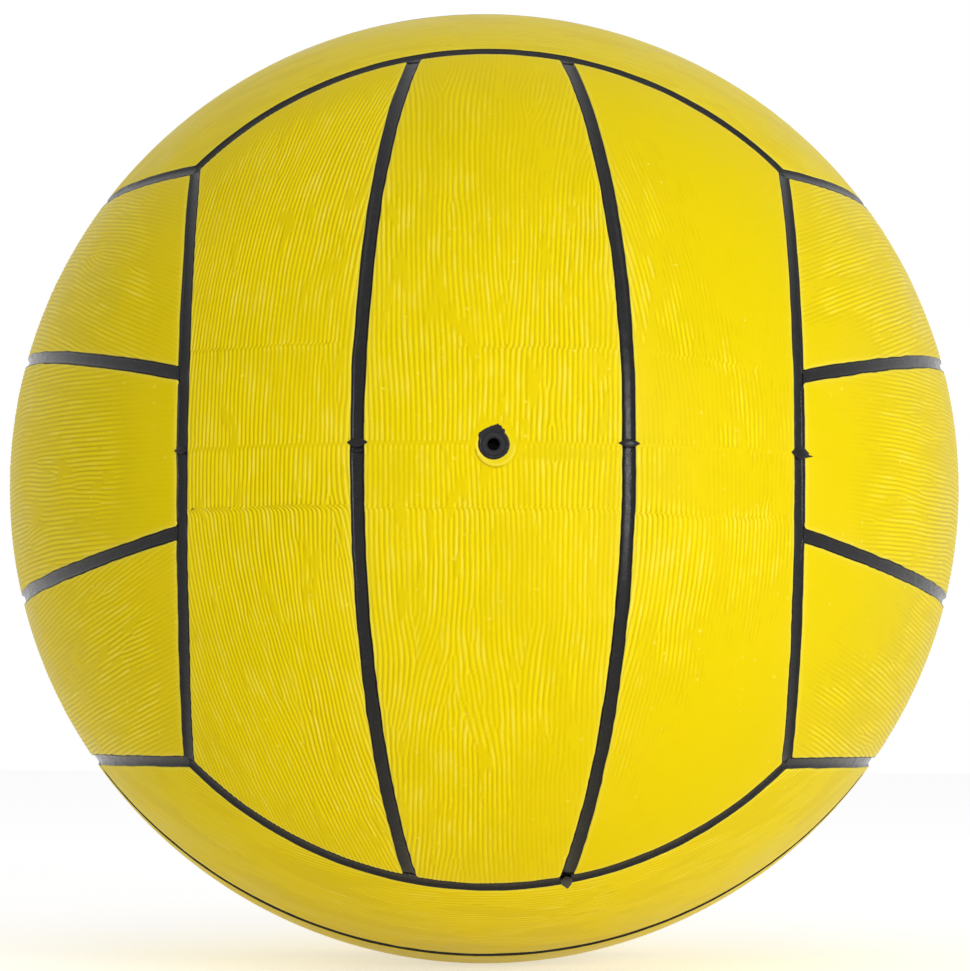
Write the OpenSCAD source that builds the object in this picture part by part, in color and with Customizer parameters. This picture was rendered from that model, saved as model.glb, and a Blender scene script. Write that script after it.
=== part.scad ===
// Water polo ball: an inflated, moulded rubber ball of eighteen cover panels.
// Every layer is a thin shell round the ball's centre, which is the origin. +Z is up,
// the valve faces -Y, and the mould's parting line is the circle z = 0.
//
// The six faces follow the symmetry of a volleyball. The long channels of a face lie on the
// two circles that pass through the corners of a cube inside the ball, and its short ends
// are the long channels of its neighbours. Two more channels, each part of a great circle,
// divide a face into three panels.

/* [Ball] */
// Outside diameter over the cover panels
ball_d = 220; // [205:0.5:226]
// Thickness of the cover panels
cover_t = 1.2; // [0.9:0.05:2]
// Thickness of the carcass rubber under the cover
carcass_t = 0.4; // [0.3:0.05:1]
// Thickness of the nylon winding
winding_t = 0.4; // [0.3:0.05:1]
// Wall of the butyl bladder
bladder_t = 0.7; // [0.5:0.05:1.2]
// Bond line between one layer and the next
bond_gap = 0.1; // [0.08:0.01:0.2]

/* [Channels] */
// Width of the channels between the panels
channel_w = 3; // [2:0.1:4.5]
// Depth of the channels below the cover's surface
channel_depth = 0.65; // [0.3:0.05:0.8]
// Bevel along the edges of the panels
panel_bevel = 0.3; // [0.1:0.05:0.5]
// Gap between a channel strip and the panel beside it
strip_gap = 0.05; // [0.02:0.01:0.1]
// Gap between the mitred ends of two channel strips
mitre_gap = 0.06; // [0.02:0.01:0.2]
// Angle from the middle of a face to its inner channels
inner_angle = 14.36; // [11:0.01:18]

/* [Valve housing] */
// Diameter of the neck that shows in the cover
neck_d = 6; // [5.8:0.1:8]
// Depth of the valve's face below the cover's surface
valve_recess = 0.15; // [0.05:0.05:0.4]
// Diameter of the flange bonded inside the bladder
flange_d = 30; // [22:1:40]
// Thickness of the flange
flange_t = 1; // [0.6:0.1:2]
// Diameter of the barrel that hangs inside the bladder
barrel_d = 11; // [9:0.5:14]
// Length of the barrel below the flange
barrel_l = 14.5; // [14:0.5:20]
// Diameter of the air passage at the barrel's inner end
vent_d = 2.6; // [1.5:0.1:3]
// Width of the moulded ring round the valve
ring_w = 1; // [0.6:0.1:2]
// Width of the groove that draws the ring
ring_groove_w = 0.4; // [0.2:0.05:0.6]

/* [Valve core] */
// Diameter of the core's head
head_d = 4.6; // [4.4:0.1:5]
// Thickness of the core's head
head_t = 1.2; // [0.8:0.1:2]
// Diameter of the core's shank
shank_d = 4; // [3.6:0.1:4.2]
// Length of the shank below the head
shank_l = 13; // [11:0.5:14]
// Diameter of the needle passage
needle_d = 2.4; // [2:0.1:2.6]
// Depth of the needle passage from the core's face
needle_l = 10.5; // [8:0.5:10.5]
// Radial gap between the core and its seat
core_gap = 0.06; // [0.03:0.01:0.09]
// Gap between the shank's tip and the end of its seat
tip_gap = 0.4; // [0.3:0.1:1]
// Width of the slit that closes under pressure
slit_w = 0.15; // [0.1:0.05:0.3]
// Length of the slit across the shank
slit_l = 3; // [1:0.1:3.2]
// Bevel on the core, at the needle's mouth and on the barrel
core_bevel = 0.3; // [0.1:0.05:0.4]

/* [Hidden] */
// Radii of the layers, from the outside in
ball_r = ball_d / 2;
cover_in = ball_r - cover_t;
carcass_out = cover_in - bond_gap;
carcass_in = carcass_out - carcass_t;
winding_out = carcass_in - bond_gap;
winding_in = winding_out - winding_t;
bladder_out = winding_in - bond_gap;
bladder_in = bladder_out - bladder_t;
flange_out = bladder_in - bond_gap;
flange_in = flange_out - flange_t;
strip_out = ball_r - channel_depth;

// Angle from the axis of a channel's circle to that circle, set by the corners of a cube
circle_angle = acos(sqrt(1 / 3));
// Half the channel and half the strip, as seen from the centre
channel_half = asin(channel_w / ball_d);
strip_half = asin((channel_w - 2 * strip_gap) / ball_d);
// A channel circle's arc along one side of a face reaches this far either way from its middle
corner_turn = 45;
// Three strips meet at a corner, so each has this much either side of its middle there
mitre_turn = 60;
// Arcs that the strips are cut from, a little longer than what is left of them
edge_span = 2 * corner_turn + 6;
inner_span = 2 * circle_angle + 6;

// How far a cutting shape runs past what it cuts
overrun = ball_d / 100;
cut_r = ball_r + overrun;
// Far enough out that a straight side stays clear of the ball
reach = 2 * ball_d;

// Valve places, as distances from the ball's centre along the valve's axis
valve_face = ball_r - valve_recess;
head_under = valve_face - head_t;
shank_end = head_under - shank_l;
seat_end = shank_end - tip_gap;
barrel_end = flange_in - barrel_l;
needle_end = valve_face - needle_l;
seat_step = head_under - core_gap;
neck_hole_d = neck_d + 2 * bond_gap;
ring_d = neck_hole_d + 2 * ring_w;

// A face's name, its turn from the front face, and the names of its two sides
FACES = [
    ["front", [0, 0, 0], "right", "left"],
    ["back", [0, 0, 180], "left", "right"],
    ["right", [90, -90, 0], "upper", "lower"],
    ["left", [90, -90, 180], "upper", "lower"],
    ["top", [-90, 0, 90], "back", "front"],
    ["bottom", [90, 0, 90], "back", "front"],
];
LAYER_NODES = ["bladder", "valve_housing", "valve_core", "nylon_winding", "carcass"];
CENTRE_NODES = [for (face = FACES) str(face[0], "_centre_panel")];
SIDES = [for (face = FACES) for (side = [2, 3]) str(face[0], "_", face[side])];
SIDE_NODES = [for (side = SIDES) for (kind = ["_panel", "_edge_strip", "_inner_strip"]) str(side, kind)];

// Facets of the large round shapes and of the valve's
$fn = 120;
valve_fn = 48;

// A point of a round profile at an angle from its axis: [distance from the axis, height]
function polar_point(angle, r) = [r * sin(angle), r * cos(angle)];

// Turn a shape from +Z to the valve's axis
module along_valve() {
    rotate([90, 0, 0]) children();
}

// Turn a shape from +Z to +X, the axis of the front face's right-hand channel circle
module along_side() {
    rotate([0, 90, 0]) children();
}

// Turn an arc about +Z so that its middle meets the front face once it lies along the side
module arc_to_front(span) {
    rotate([0, 0, -90 - span / 2]) children();
}

// A shell with a round hole for the valve's neck
module layer_shell(outer, inner) {
    difference() {
        sphere(r = outer);
        sphere(r = inner);
        valve_hole();
    }
}

// The hole that the valve's neck passes through, from well inside the bladder outwards
module valve_hole() {
    along_valve() translate([0, 0, flange_in]) cylinder(h = reach, d = neck_hole_d, $fn = valve_fn);
}

// All that lies within the short ends of the front face, bevelled at the surface
module inside_ends() {
    wall = circle_angle - channel_half;
    lip = wall - asin((panel_bevel + overrun) / cut_r);
    along_valve() rotate_extrude() polygon([
        [0, 0],
        polar_point(wall, ball_r - panel_bevel),
        polar_point(lip, cut_r),
        polar_point(lip, reach),
        [0, reach],
    ]);
}

// All that lies past the right-hand long side of the front face
module past_side() {
    wall = circle_angle + channel_half;
    along_side() rotate_extrude() polygon([
        [0, 0],
        polar_point(wall, reach),
        [0, reach],
    ]);
}

// The bevel along that side, as a ring that is cut last
module side_bevel() {
    wall = circle_angle + channel_half;
    foot = wall - asin(panel_bevel / ball_r);
    lip = wall + asin((panel_bevel + overrun) / cut_r);
    along_side() rotate_extrude() polygon([
        polar_point(foot, ball_r - 2 * panel_bevel),
        polar_point(lip, cut_r),
        polar_point(foot, cut_r),
    ]);
}

// The half space beyond the wall of an inner channel, bevelled at the surface. It lies on
// the outer side of the wall for way = 1 and on the middle's side for way = -1.
module past_inner_wall(way) {
    wall = -way * channel_w / 2;
    lip = wall - way * (panel_bevel + overrun);
    rotate([0, 0, inner_angle]) along_side() rotate_extrude() polygon([
        [0, wall],
        [ball_r - panel_bevel, wall],
        [cut_r, lip],
        [reach, lip],
        [reach, way * reach],
        [0, way * reach],
    ]);
}

// The middle panel of the front face
module centre_panel() {
    color("gold") difference() {
        intersection() {
            sphere(r = ball_r);
            inside_ends();
        }
        sphere(r = cover_in);
        past_inner_wall(1);
        mirror([1, 0, 0]) past_inner_wall(1);
    }
}

// The middle panel of the front face with the valve's hole and the ring moulded round it
module valve_panel() {
    color("gold") difference() {
        centre_panel();
        valve_hole();
        along_valve() translate([0, 0, ball_r]) ring_groove();
    }
}

// The fine groove that draws a ring round the valve
module ring_groove() {
    rotate_extrude($fn = valve_fn) translate([ring_d / 2, 0]) circle(d = ring_groove_w, $fn = valve_fn / 2);
}

// The right-hand panel of the front face. Its long side is cut after the rest.
module side_panel() {
    color("gold") difference() {
        difference() {
            difference() {
                intersection() {
                    sphere(r = ball_r);
                    inside_ends();
                }
                sphere(r = cover_in);
                past_inner_wall(-1);
            }
            past_side();
        }
        side_bevel();
    }
}

// The strip in the long channel on the right of the front face, from corner to corner
module edge_strip() {
    color("dimgray") along_side() intersection() {
        arc_to_front(edge_span) rotate_extrude(angle = edge_span) polygon([
            polar_point(circle_angle - strip_half, cover_in),
            polar_point(circle_angle - strip_half, strip_out),
            polar_point(circle_angle + strip_half, strip_out),
            polar_point(circle_angle + strip_half, cover_in),
        ]);
        corner_mitre(-1);
        corner_mitre(1);
    }
}

// The third of a turn about a cube's corner that holds one channel strip
module corner_mitre(way) {
    tip = mitre_gap / 2 / sin(mitre_turn);
    far = tip + reach * cos(mitre_turn);
    half_w = reach * sin(mitre_turn);
    arc_to_front(0) rotate([0, 0, way * corner_turn]) rotate([0, circle_angle, 0])
        linear_extrude(height = reach) polygon([
            [0, -way * tip],
            [half_w, -way * far],
            [-half_w, -way * far],
        ]);
}

// The strip in the inner channel on the right of the front face, between its short ends
module inner_strip() {
    half_w = channel_w / 2 - strip_gap;
    color("dimgray") intersection() {
        rotate([0, 0, inner_angle]) along_side() arc_to_front(inner_span)
            rotate_extrude(angle = inner_span) polygon([
                [cover_in, -half_w],
                [strip_out, -half_w],
                [strip_out, half_w],
                [cover_in, half_w],
            ]);
        within_end_channels();
    }
}

// All that lies between the channels at the front face's short ends
module within_end_channels() {
    wall = circle_angle - channel_half;
    along_valve() rotate_extrude() polygon([
        [0, 0],
        polar_point(wall, reach),
        [0, reach],
    ]);
}

// The soft airtight bladder
module bladder() {
    color("saddlebrown") layer_shell(bladder_out, bladder_in);
}

// Nylon thread wound round the bladder, as one closed layer
module nylon_winding() {
    color("ivory") layer_shell(winding_out, winding_in);
}

// The rubber layer that the cover is bonded to
module carcass() {
    color("darkslategray") layer_shell(carcass_out, carcass_in);
}

// The valve's moulded housing: neck, flange and barrel, with the seat for the core
module valve_housing() {
    color("black") along_valve() difference() {
        union() {
            translate([0, 0, barrel_end]) cylinder(h = valve_face - barrel_end, d = neck_d, $fn = valve_fn);
            translate([0, 0, barrel_end + core_bevel])
                cylinder(h = barrel_l - core_bevel + flange_t / 2, d = barrel_d, $fn = valve_fn);
            translate([0, 0, barrel_end])
                cylinder(h = core_bevel, d1 = barrel_d - 2 * core_bevel, d2 = barrel_d, $fn = valve_fn);
            flange();
        }
        translate([0, 0, seat_end]) cylinder(h = reach, d = shank_d + 2 * core_gap, $fn = valve_fn);
        translate([0, 0, seat_step]) cylinder(h = reach, d = head_d + 2 * core_gap, $fn = valve_fn);
        translate([0, 0, barrel_end - overrun]) cylinder(h = reach / 2, d = vent_d, $fn = valve_fn);
    }
}

// The housing's flange, curved to the inside of the bladder
module flange() {
    intersection() {
        difference() {
            sphere(r = flange_out);
            sphere(r = flange_in);
        }
        cylinder(h = reach, d = flange_d, $fn = valve_fn);
    }
}

// The removable core: a soft plug with the needle's passage, closed by a slit
module valve_core() {
    color("dimgray") along_valve() difference() {
        union() {
            translate([0, 0, head_under]) cylinder(h = head_t, d = head_d, $fn = valve_fn);
            translate([0, 0, shank_end + core_bevel]) cylinder(h = shank_l, d = shank_d, $fn = valve_fn);
            translate([0, 0, shank_end])
                cylinder(h = core_bevel, d1 = shank_d - 2 * core_bevel, d2 = shank_d, $fn = valve_fn);
        }
        translate([0, 0, needle_end]) cylinder(h = reach, d = needle_d, $fn = valve_fn);
        translate([0, 0, valve_face - core_bevel])
            cylinder(h = core_bevel, d1 = needle_d, d2 = needle_d + 2 * core_bevel, $fn = valve_fn);
        translate([-slit_l / 2, -slit_w / 2, shank_end - overrun])
            cube([slit_l, slit_w, needle_end - shank_end + 2 * overrun]);
    }
}

bladder();
valve_housing();
valve_core();
nylon_winding();
carcass();
for (face = FACES) rotate(face[1]) {
    union() {
        if (face[0] == "front") valve_panel();
        else centre_panel();
    }
    for (side = [2, 3]) mirror([side - 2, 0, 0]) {
        name = str(face[0], "_", face[side]);
        side_panel();
        edge_strip();
        inner_strip();
    }
}
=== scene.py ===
"""Water polo ball: the ribbed cover, the black strips, the valve and the studio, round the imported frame."""

import logging
import math
import zlib
from dataclasses import dataclass
from enum import Enum
from itertools import combinations
from typing import ClassVar

import bmesh
import bpy
import numpy as np
from mathutils import Euler, Matrix, Vector
from mathutils.kdtree import KDTree


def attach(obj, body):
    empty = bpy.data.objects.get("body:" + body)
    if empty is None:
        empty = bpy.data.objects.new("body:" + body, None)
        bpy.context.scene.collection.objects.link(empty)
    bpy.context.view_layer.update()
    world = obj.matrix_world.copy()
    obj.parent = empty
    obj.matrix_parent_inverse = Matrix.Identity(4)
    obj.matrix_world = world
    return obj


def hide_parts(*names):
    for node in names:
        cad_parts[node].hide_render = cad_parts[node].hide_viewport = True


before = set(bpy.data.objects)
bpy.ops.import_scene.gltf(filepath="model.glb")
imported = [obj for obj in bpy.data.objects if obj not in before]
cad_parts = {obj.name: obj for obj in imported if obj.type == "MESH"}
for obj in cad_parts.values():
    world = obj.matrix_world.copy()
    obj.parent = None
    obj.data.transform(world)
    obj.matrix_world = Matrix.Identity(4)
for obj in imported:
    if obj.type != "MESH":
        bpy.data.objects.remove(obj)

LOG = logging.getLogger("ball")
MM = 0.001
Colour = tuple[float, float, float, float]
# Cosine and sine of the turn of the noise's lattice, so that its rows don't follow the ribs.
LATTICE_COSINE, LATTICE_SINE = 0.857, 0.515
# How a moulded edge strays from its line in millimetres: on the whole, in slow waves and in quick ones.
EDGE_CREEP, EDGE_SLOW, EDGE_QUICK = 0.11, 0.11, 0.07
# The step in which rows of vertices are spaced, in millimetres.
ROW_STEP = 0.05
# The waves in which the ribs wander: share, size across and along them in millimetres, and seed.
SWAYS = ((1.0, 13, 19, 0), (0.3, 5, 8, 1), (0.07, 1.7, 3.1, 9))
# How far below a line the ribs go on leaning, in millimetres.
LEAN_LENGTH = 60
# How many slices of the streaks' noise the panels are spread over.
GRAIN_PAGES = 977


class Face(Enum):
    """A face of the ball: its turn from the front face in degrees, and the names of its +v and -v sides."""

    FRONT = ((0, 0, 0), ("right", "left"))
    BACK = ((0, 0, 180), ("left", "right"))
    RIGHT = ((90, -90, 0), ("upper", "lower"))
    LEFT = ((90, -90, 180), ("upper", "lower"))
    TOP = ((-90, 0, 90), ("back", "front"))
    BOTTOM = ((90, 0, 90), ("back", "front"))

    @property
    def label(self) -> str:
        """The face's name as the nodes have it."""
        return self.name.lower()

    @property
    def axes(self) -> np.ndarray:
        """Rows u, v and w in the ball's frame: out of the face, across its panels and along them."""
        turn = Euler([math.radians(angle) for angle in self.value[0]], "XYZ").to_matrix()
        return np.array([turn @ Vector(axis) for axis in ((0, -1, 0), (1, 0, 0), (0, 0, 1))])

    def side_name(self, side: int) -> str:
        """The name of the +v side for side 1 and of the -v side for side -1."""
        return self.value[1][0 if side > 0 else 1]

    def beyond(self, side: int) -> "Face":
        """The face that lies past this one's +v or -v side."""
        outward = side * self.axes[1]
        return max(Face, key=lambda other: float(other.axes[0] @ outward))


@dataclass(frozen=True)
class BallSizes:
    """Sizes of the ball in millimetres and radians, the same as the frame's."""

    radius: float = 110.0
    crest_radius: float = 109.95
    cover_in: float = 108.8
    strip_out: float = 109.35
    channel_w: float = 3.0
    strip_w: float = 2.9
    strip_gap: float = 0.05
    mitre_gap: float = 0.06
    bevel: float = 0.3
    inner_angle: float = math.radians(14.36)
    circle_angle: float = math.acos(math.sqrt(1 / 3))
    side_tilt: float = math.radians(28.0)
    valve_hole_r: float = 3.1

    @property
    def channel_half(self) -> float:
        """Half a channel's width as an angle at the ball's centre."""
        return math.asin(self.channel_w / 2 / self.radius)


def lattice(ix: np.ndarray, iy: np.ndarray, seed: int) -> np.ndarray:
    """A fixed value for every point of a whole-number lattice.

    Args:
        ix: The points' first coordinates.
        iy: Their second coordinates.
        seed: Which of many lattices.

    Returns:
        Values from -1 to 1.
    """
    mixed = (ix * 374761393 + iy * 668265263 + seed * 974711) & 0xFFFFFFFF
    mixed = ((mixed ^ (mixed >> 13)) * 1274126177) & 0xFFFFFFFF
    return ((mixed ^ (mixed >> 16)) & 0xFFFF) / 32767.5 - 1.0


def noise(x: np.ndarray, y: np.ndarray, seed: int) -> np.ndarray:
    """Smooth noise in the plane.

    Args:
        x: First coordinate, one lattice cell per unit.
        y: Second coordinate, alike.
        seed: Which of many noises.

    Returns:
        Values from -1 to 1.
    """
    x, y = np.broadcast_arrays(np.asarray(x, float), np.asarray(y, float))
    x, y = LATTICE_COSINE * x - LATTICE_SINE * y, LATTICE_SINE * x + LATTICE_COSINE * y
    ix, iy = np.floor(x).astype(np.int64), np.floor(y).astype(np.int64)
    fx, fy = x - ix, y - iy
    fx = fx * fx * (3 - 2 * fx)
    fy = fy * fy * (3 - 2 * fy)
    low = lattice(ix, iy, seed) * (1 - fx) + lattice(ix + 1, iy, seed) * fx
    high = lattice(ix, iy + 1, seed) * (1 - fx) + lattice(ix + 1, iy + 1, seed) * fx
    return low * (1 - fy) + high * fy


def ramp(x: np.ndarray, low: float, high: float) -> np.ndarray:
    """0 below low, 1 above high, and a smooth rise between them."""
    share = np.clip((x - low) / (high - low), 0, 1)
    return share * share * (3 - 2 * share)


def seed_of(name: str) -> int:
    """A seed that belongs to a name."""
    return zlib.crc32(name.encode()) % 99991


def edge_wander(points: np.ndarray, key: str) -> np.ndarray:
    """How far a moulded edge strays into its panel from its line, in millimetres.

    Args:
        points: Places near the edge in the ball's frame, one row each.
        key: The name of the edge.

    Returns:
        A length for each place. It is below zero on the whole, because the rubber creeps into the channel.
    """
    seed = seed_of(key)
    x, y, z = points.T
    slow = noise(x / 7 + y / 9, z / 7 - y / 6, seed)
    quick = noise(x / 2.4 + y / 3.1, z / 2.4 - y / 2.2, seed + 1)
    return -EDGE_CREEP + EDGE_SLOW * slow + EDGE_QUICK * quick


def spaced_places(
    reach: float, gap: float, fine_gap: float, zones: list[tuple[float, float, float]]
) -> np.ndarray:
    """Places of a mesh's rows, closer together in some zones, in millimetres.

    Args:
        reach: How far the rows run to either side of 0.
        gap: The usual gap between two rows.
        fine_gap: The gap inside a zone.
        zones: The middle of each zone, how far from it the rows are fine, and how far off they are as usual.

    Returns:
        The places in rising order.
    """
    fine = np.arange(-reach, reach, ROW_STEP)
    gaps = np.full(len(fine), gap)
    for middle, near, far in zones:
        share = 1 - ramp(np.abs(fine - middle), near, far)
        gaps = np.minimum(gaps, gap + (fine_gap - gap) * share)
    counted = np.cumsum(ROW_STEP / gaps)
    rows = int(math.ceil(counted[-1]))
    return np.interp(np.linspace(counted[0], counted[-1], rows + 1), counted, fine)


def new_attribute(mesh: bpy.types.Mesh, name: str, values: np.ndarray) -> None:
    """Writes a number, or a vector, for each vertex of a mesh.

    Args:
        mesh: The mesh.
        name: The attribute's name, which the mesh doesn't have yet.
        values: One number or one row of three for each vertex.
    """
    vector = values.ndim == 2
    layer = mesh.attributes.new(name, "FLOAT_VECTOR" if vector else "FLOAT", "POINT")
    layer.data.foreach_set("vector" if vector else "value", values.astype(np.float32).ravel())


def read_attribute(mesh: bpy.types.Mesh, name: str) -> np.ndarray:
    """Reads a number for each vertex of a mesh.

    Args:
        mesh: The mesh.
        name: The attribute's name.

    Returns:
        The numbers, in the order of the vertices.
    """
    values = np.zeros(len(mesh.vertices), np.float32)
    mesh.attributes[name].data.foreach_get("value", values)
    return values.astype(float)


def points_of(mesh: bpy.types.Mesh) -> np.ndarray:
    """The places of a mesh's vertices, one row each.

    Args:
        mesh: The mesh.

    Returns:
        The places in the order of the vertices.
    """
    values = np.zeros(len(mesh.vertices) * 3, np.float32)
    mesh.vertices.foreach_get("co", values)
    return values.reshape(-1, 3).astype(float)


def move_points(mesh: bpy.types.Mesh, points: np.ndarray) -> None:
    """Puts a mesh's vertices at new places, one row each."""
    mesh.vertices.foreach_set("co", points.astype(np.float32).ravel())
    mesh.update()


def sheet_of(mesh: bpy.types.Mesh) -> bmesh.types.BMesh:
    """A mesh opened as a bmesh.

    Args:
        mesh: The mesh, which stays as it is.

    Returns:
        The open sheet.
    """
    sheet = bmesh.new()
    sheet.from_mesh(mesh)
    return sheet


def write_sheet(sheet: bmesh.types.BMesh, mesh: bpy.types.Mesh) -> None:
    """Writes a bmesh into a mesh and frees it."""
    sheet.to_mesh(mesh)
    sheet.free()


def write_closed(sheet: bmesh.types.BMesh, mesh: bpy.types.Mesh) -> None:
    """Turns a finished sheet's faces outwards, warns if it isn't closed, and writes it into a mesh.

    Args:
        sheet: The sheet, which is freed.
        mesh: The mesh that gets its shape.
    """
    bmesh.ops.recalc_face_normals(sheet, faces=sheet.faces)
    left = sum(1 for e in sheet.edges if not e.is_manifold)
    if left:
        LOG.warning("%s: %d open edges", mesh.name, left)
    write_sheet(sheet, mesh)


def border_of(sheet: bmesh.types.BMesh) -> list[bmesh.types.BMEdge]:
    """The open edges of a sheet."""
    return [e for e in sheet.edges if e.is_boundary]


def grid_mesh(name: str, columns: int, rows: int) -> tuple[bpy.types.Mesh, np.ndarray, np.ndarray]:
    """A flat grid to be shaped.

    Args:
        name: Name of the mesh.
        columns: Cells across.
        rows: Cells along.

    Returns:
        The mesh, and the whole-number column and row of each of its vertices.
    """
    sheet = bmesh.new()
    bmesh.ops.create_grid(sheet, x_segments=columns, y_segments=rows, size=1.0)
    mesh = bpy.data.meshes.new(name)
    write_sheet(sheet, mesh)
    flat = points_of(mesh)
    column = np.rint((flat[:, 0] + 1) / 2 * columns)
    row = np.rint((flat[:, 1] + 1) / 2 * rows)
    return mesh, column, row


def cut_sheet(sheet: bmesh.types.BMesh, normal: Vector, offset: float, clear: bool) -> None:
    """Cuts a sheet along a plane.

    Args:
        sheet: The sheet.
        normal: The plane's unit normal.
        offset: The plane's distance from the ball's middle along the normal, in millimetres.
        clear: Whether what lies beyond the plane is cleared.
    """
    geometry = [*sheet.verts, *sheet.edges, *sheet.faces]
    bmesh.ops.bisect_plane(
        sheet, geom=geometry, dist=1e-4, plane_co=normal * offset, plane_no=normal, clear_outer=clear
    )


def finish_mesh(
    mesh: bpy.types.Mesh, material: bpy.types.Material, body: str, slot: str, *nodes: str
) -> bpy.types.Object:
    """Turns a mesh in millimetres into a piece of the ball.

    Args:
        mesh: The mesh, in the ball's frame.
        material: Its finish.
        body: The body that it rides on.
        slot: The name of a material slot, which is not used.
        nodes: The CAD nodes that it stands for.

    Returns:
        The new object, named after the mesh.
    """
    mesh.transform(Matrix.Scale(MM, 4))
    mesh.polygons.foreach_set("use_smooth", np.ones(len(mesh.polygons), bool))
    mesh.materials.append(material)
    piece = bpy.data.objects.new(mesh.name, mesh)
    bpy.context.scene.collection.objects.link(piece)
    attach(piece, body)
    if nodes:
        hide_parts(*nodes)
    LOG.info("%s: %d vertices, %d faces", mesh.name, len(mesh.vertices), len(mesh.polygons))
    return piece


@dataclass(frozen=True)
class StepLine:
    """A line across the ribs where two plies of the cover meet in the mould, in millimetres and degrees.

    The line starts at a height above the valve's middle, rises by slope for each degree across the face,
    and wavers. Above it the ribs are moved sideways by jump. Just below it they are bent by hook, and
    further down they lean. The line itself is a flat gap of some width, with a ledge and with a bead over a
    groove, and the ribs' tips rise beside it.
    """

    height: float
    slope: float = 0.0
    angle_from: float = -50.0
    angle_to: float = 50.0
    fade: float = 1.6
    jump: float = 0.5
    jump_reach: float = 0.3
    hook: float = 0.0
    hook_reach: float = 0.5
    ledge: float = 0.05
    ledge_w: float = 0.12
    ledge_reach: float = 1.6
    bead: float = 0.0
    bead_w: float = 0.5
    groove_share: float = 1.2
    groove_drop: float = 1.0
    groove_w: float = 0.3
    tips: float = 0.5
    tip_w: float = 0.4
    width: float = 0.15
    waver: float = 0.22
    lean: float = 0.0

    def presence(self, angle: np.ndarray) -> np.ndarray:
        """1 where the line is, and 0 to either side of it, by the angle across the face in degrees."""
        start = ramp(angle, self.angle_from - self.fade, self.angle_from + self.fade)
        return start * (1 - ramp(angle, self.angle_to - self.fade, self.angle_to + self.fade))

    def above(self, angle: np.ndarray, height: np.ndarray) -> np.ndarray:
        """How far places lie above the line.

        Args:
            angle: Their angles across the face in degrees.
            height: Their heights along it in millimetres.

        Returns:
            Millimetres, below zero for places under the line.
        """
        seed = int(self.height * 10)
        waver = noise(angle / 1.9, 0 * angle, seed) + 0.5 * noise(angle / 0.7, 0 * angle, seed + 1)
        return height - self.height - self.slope * (angle - self.angle_from) + self.waver * waver


@dataclass(frozen=True)
class SmoothPatch:
    """A place where the ribs are pressed flat: its middle and half sizes, in degrees and millimetres."""

    angle: float
    height: float
    half_angle: float
    half_height: float
    calm: float = 0.8
    soft: float = 0.2
    ragged: float = 0.22
    frayed: float = 0.12

    def calmness(self, angle: np.ndarray, height: np.ndarray) -> np.ndarray:
        """How flat the ribs are.

        Args:
            angle: The places' angles across the face in degrees.
            height: Their heights along it in millimetres.

        Returns:
            Values from 0 to calm.
        """
        reach = np.hypot((angle - self.angle) / self.half_angle, (height - self.height) / self.half_height)
        reach = reach + self.ragged * noise(angle / 1.3, height / 3.5, 17)
        reach = reach + self.frayed * noise(angle / 0.6, height / 1.4, 18)
        return self.calm * (1 - ramp(reach, 1 - self.soft, 1 + self.soft))


@dataclass(frozen=True)
class RibStyle:
    """How the ribs of a panel look, in millimetres and in shares of 1.

    The ribs wander sideways, differ in strength slowly and quickly, fade in streaks and islands, and run
    into forks in so many chains. They are calmer near the panel's ends: by end_calm within end_reach of
    them, and by the share low_end of that at its lower end.
    """

    pitch: float = 1.0
    depth: float = 0.17
    wander: float = 0.5
    sharpness: float = 2.8
    even: float = 0.86
    slow: float = 0.26
    quick: float = 0.16
    uneven: float = 0.008
    fade: float = 0.35
    islands: float = 1.0
    island_rise: float = 0.015
    chains: int = 26
    chain_forks: tuple[int, int] = (1, 6)
    chain_drift: float = 0.4
    fork_gap: tuple[float, float] = (2.0, 6.0)
    cancelling: float = 0.65
    cancel_gap: float = 4.0
    end_calm: float = 0.0
    end_reach: float = 10.0
    low_end: float = 1.0
    lines: tuple[StepLine, ...] = ()
    patches: tuple[SmoothPatch, ...] = ()


@dataclass(frozen=True)
class Cut:
    """One edge of a panel: the plane normal @ p = offset in the face's u, v, w, with the panel below it."""

    normal: tuple[float, float, float]
    offset: float
    key: str

    def inside(self, local: np.ndarray, radius: float) -> np.ndarray:
        """Millimetres along the ball from the edge into the panel, for unit rows in u, v, w."""
        angle = np.arccos(np.clip(local @ np.array(self.normal), -1, 1))
        return radius * (angle - math.acos(self.offset / radius))

    def inward(self, local: np.ndarray) -> np.ndarray:
        """The direction along the ball from the edge into the panel, one unit row each.

        Args:
            local: Places as unit rows in the face's u, v, w.

        Returns:
            A unit row for each place.
        """
        normal = np.array(self.normal)
        along = (local @ normal)[:, None] * local - normal
        return along / np.linalg.norm(along, axis=1, keepdims=True)


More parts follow.
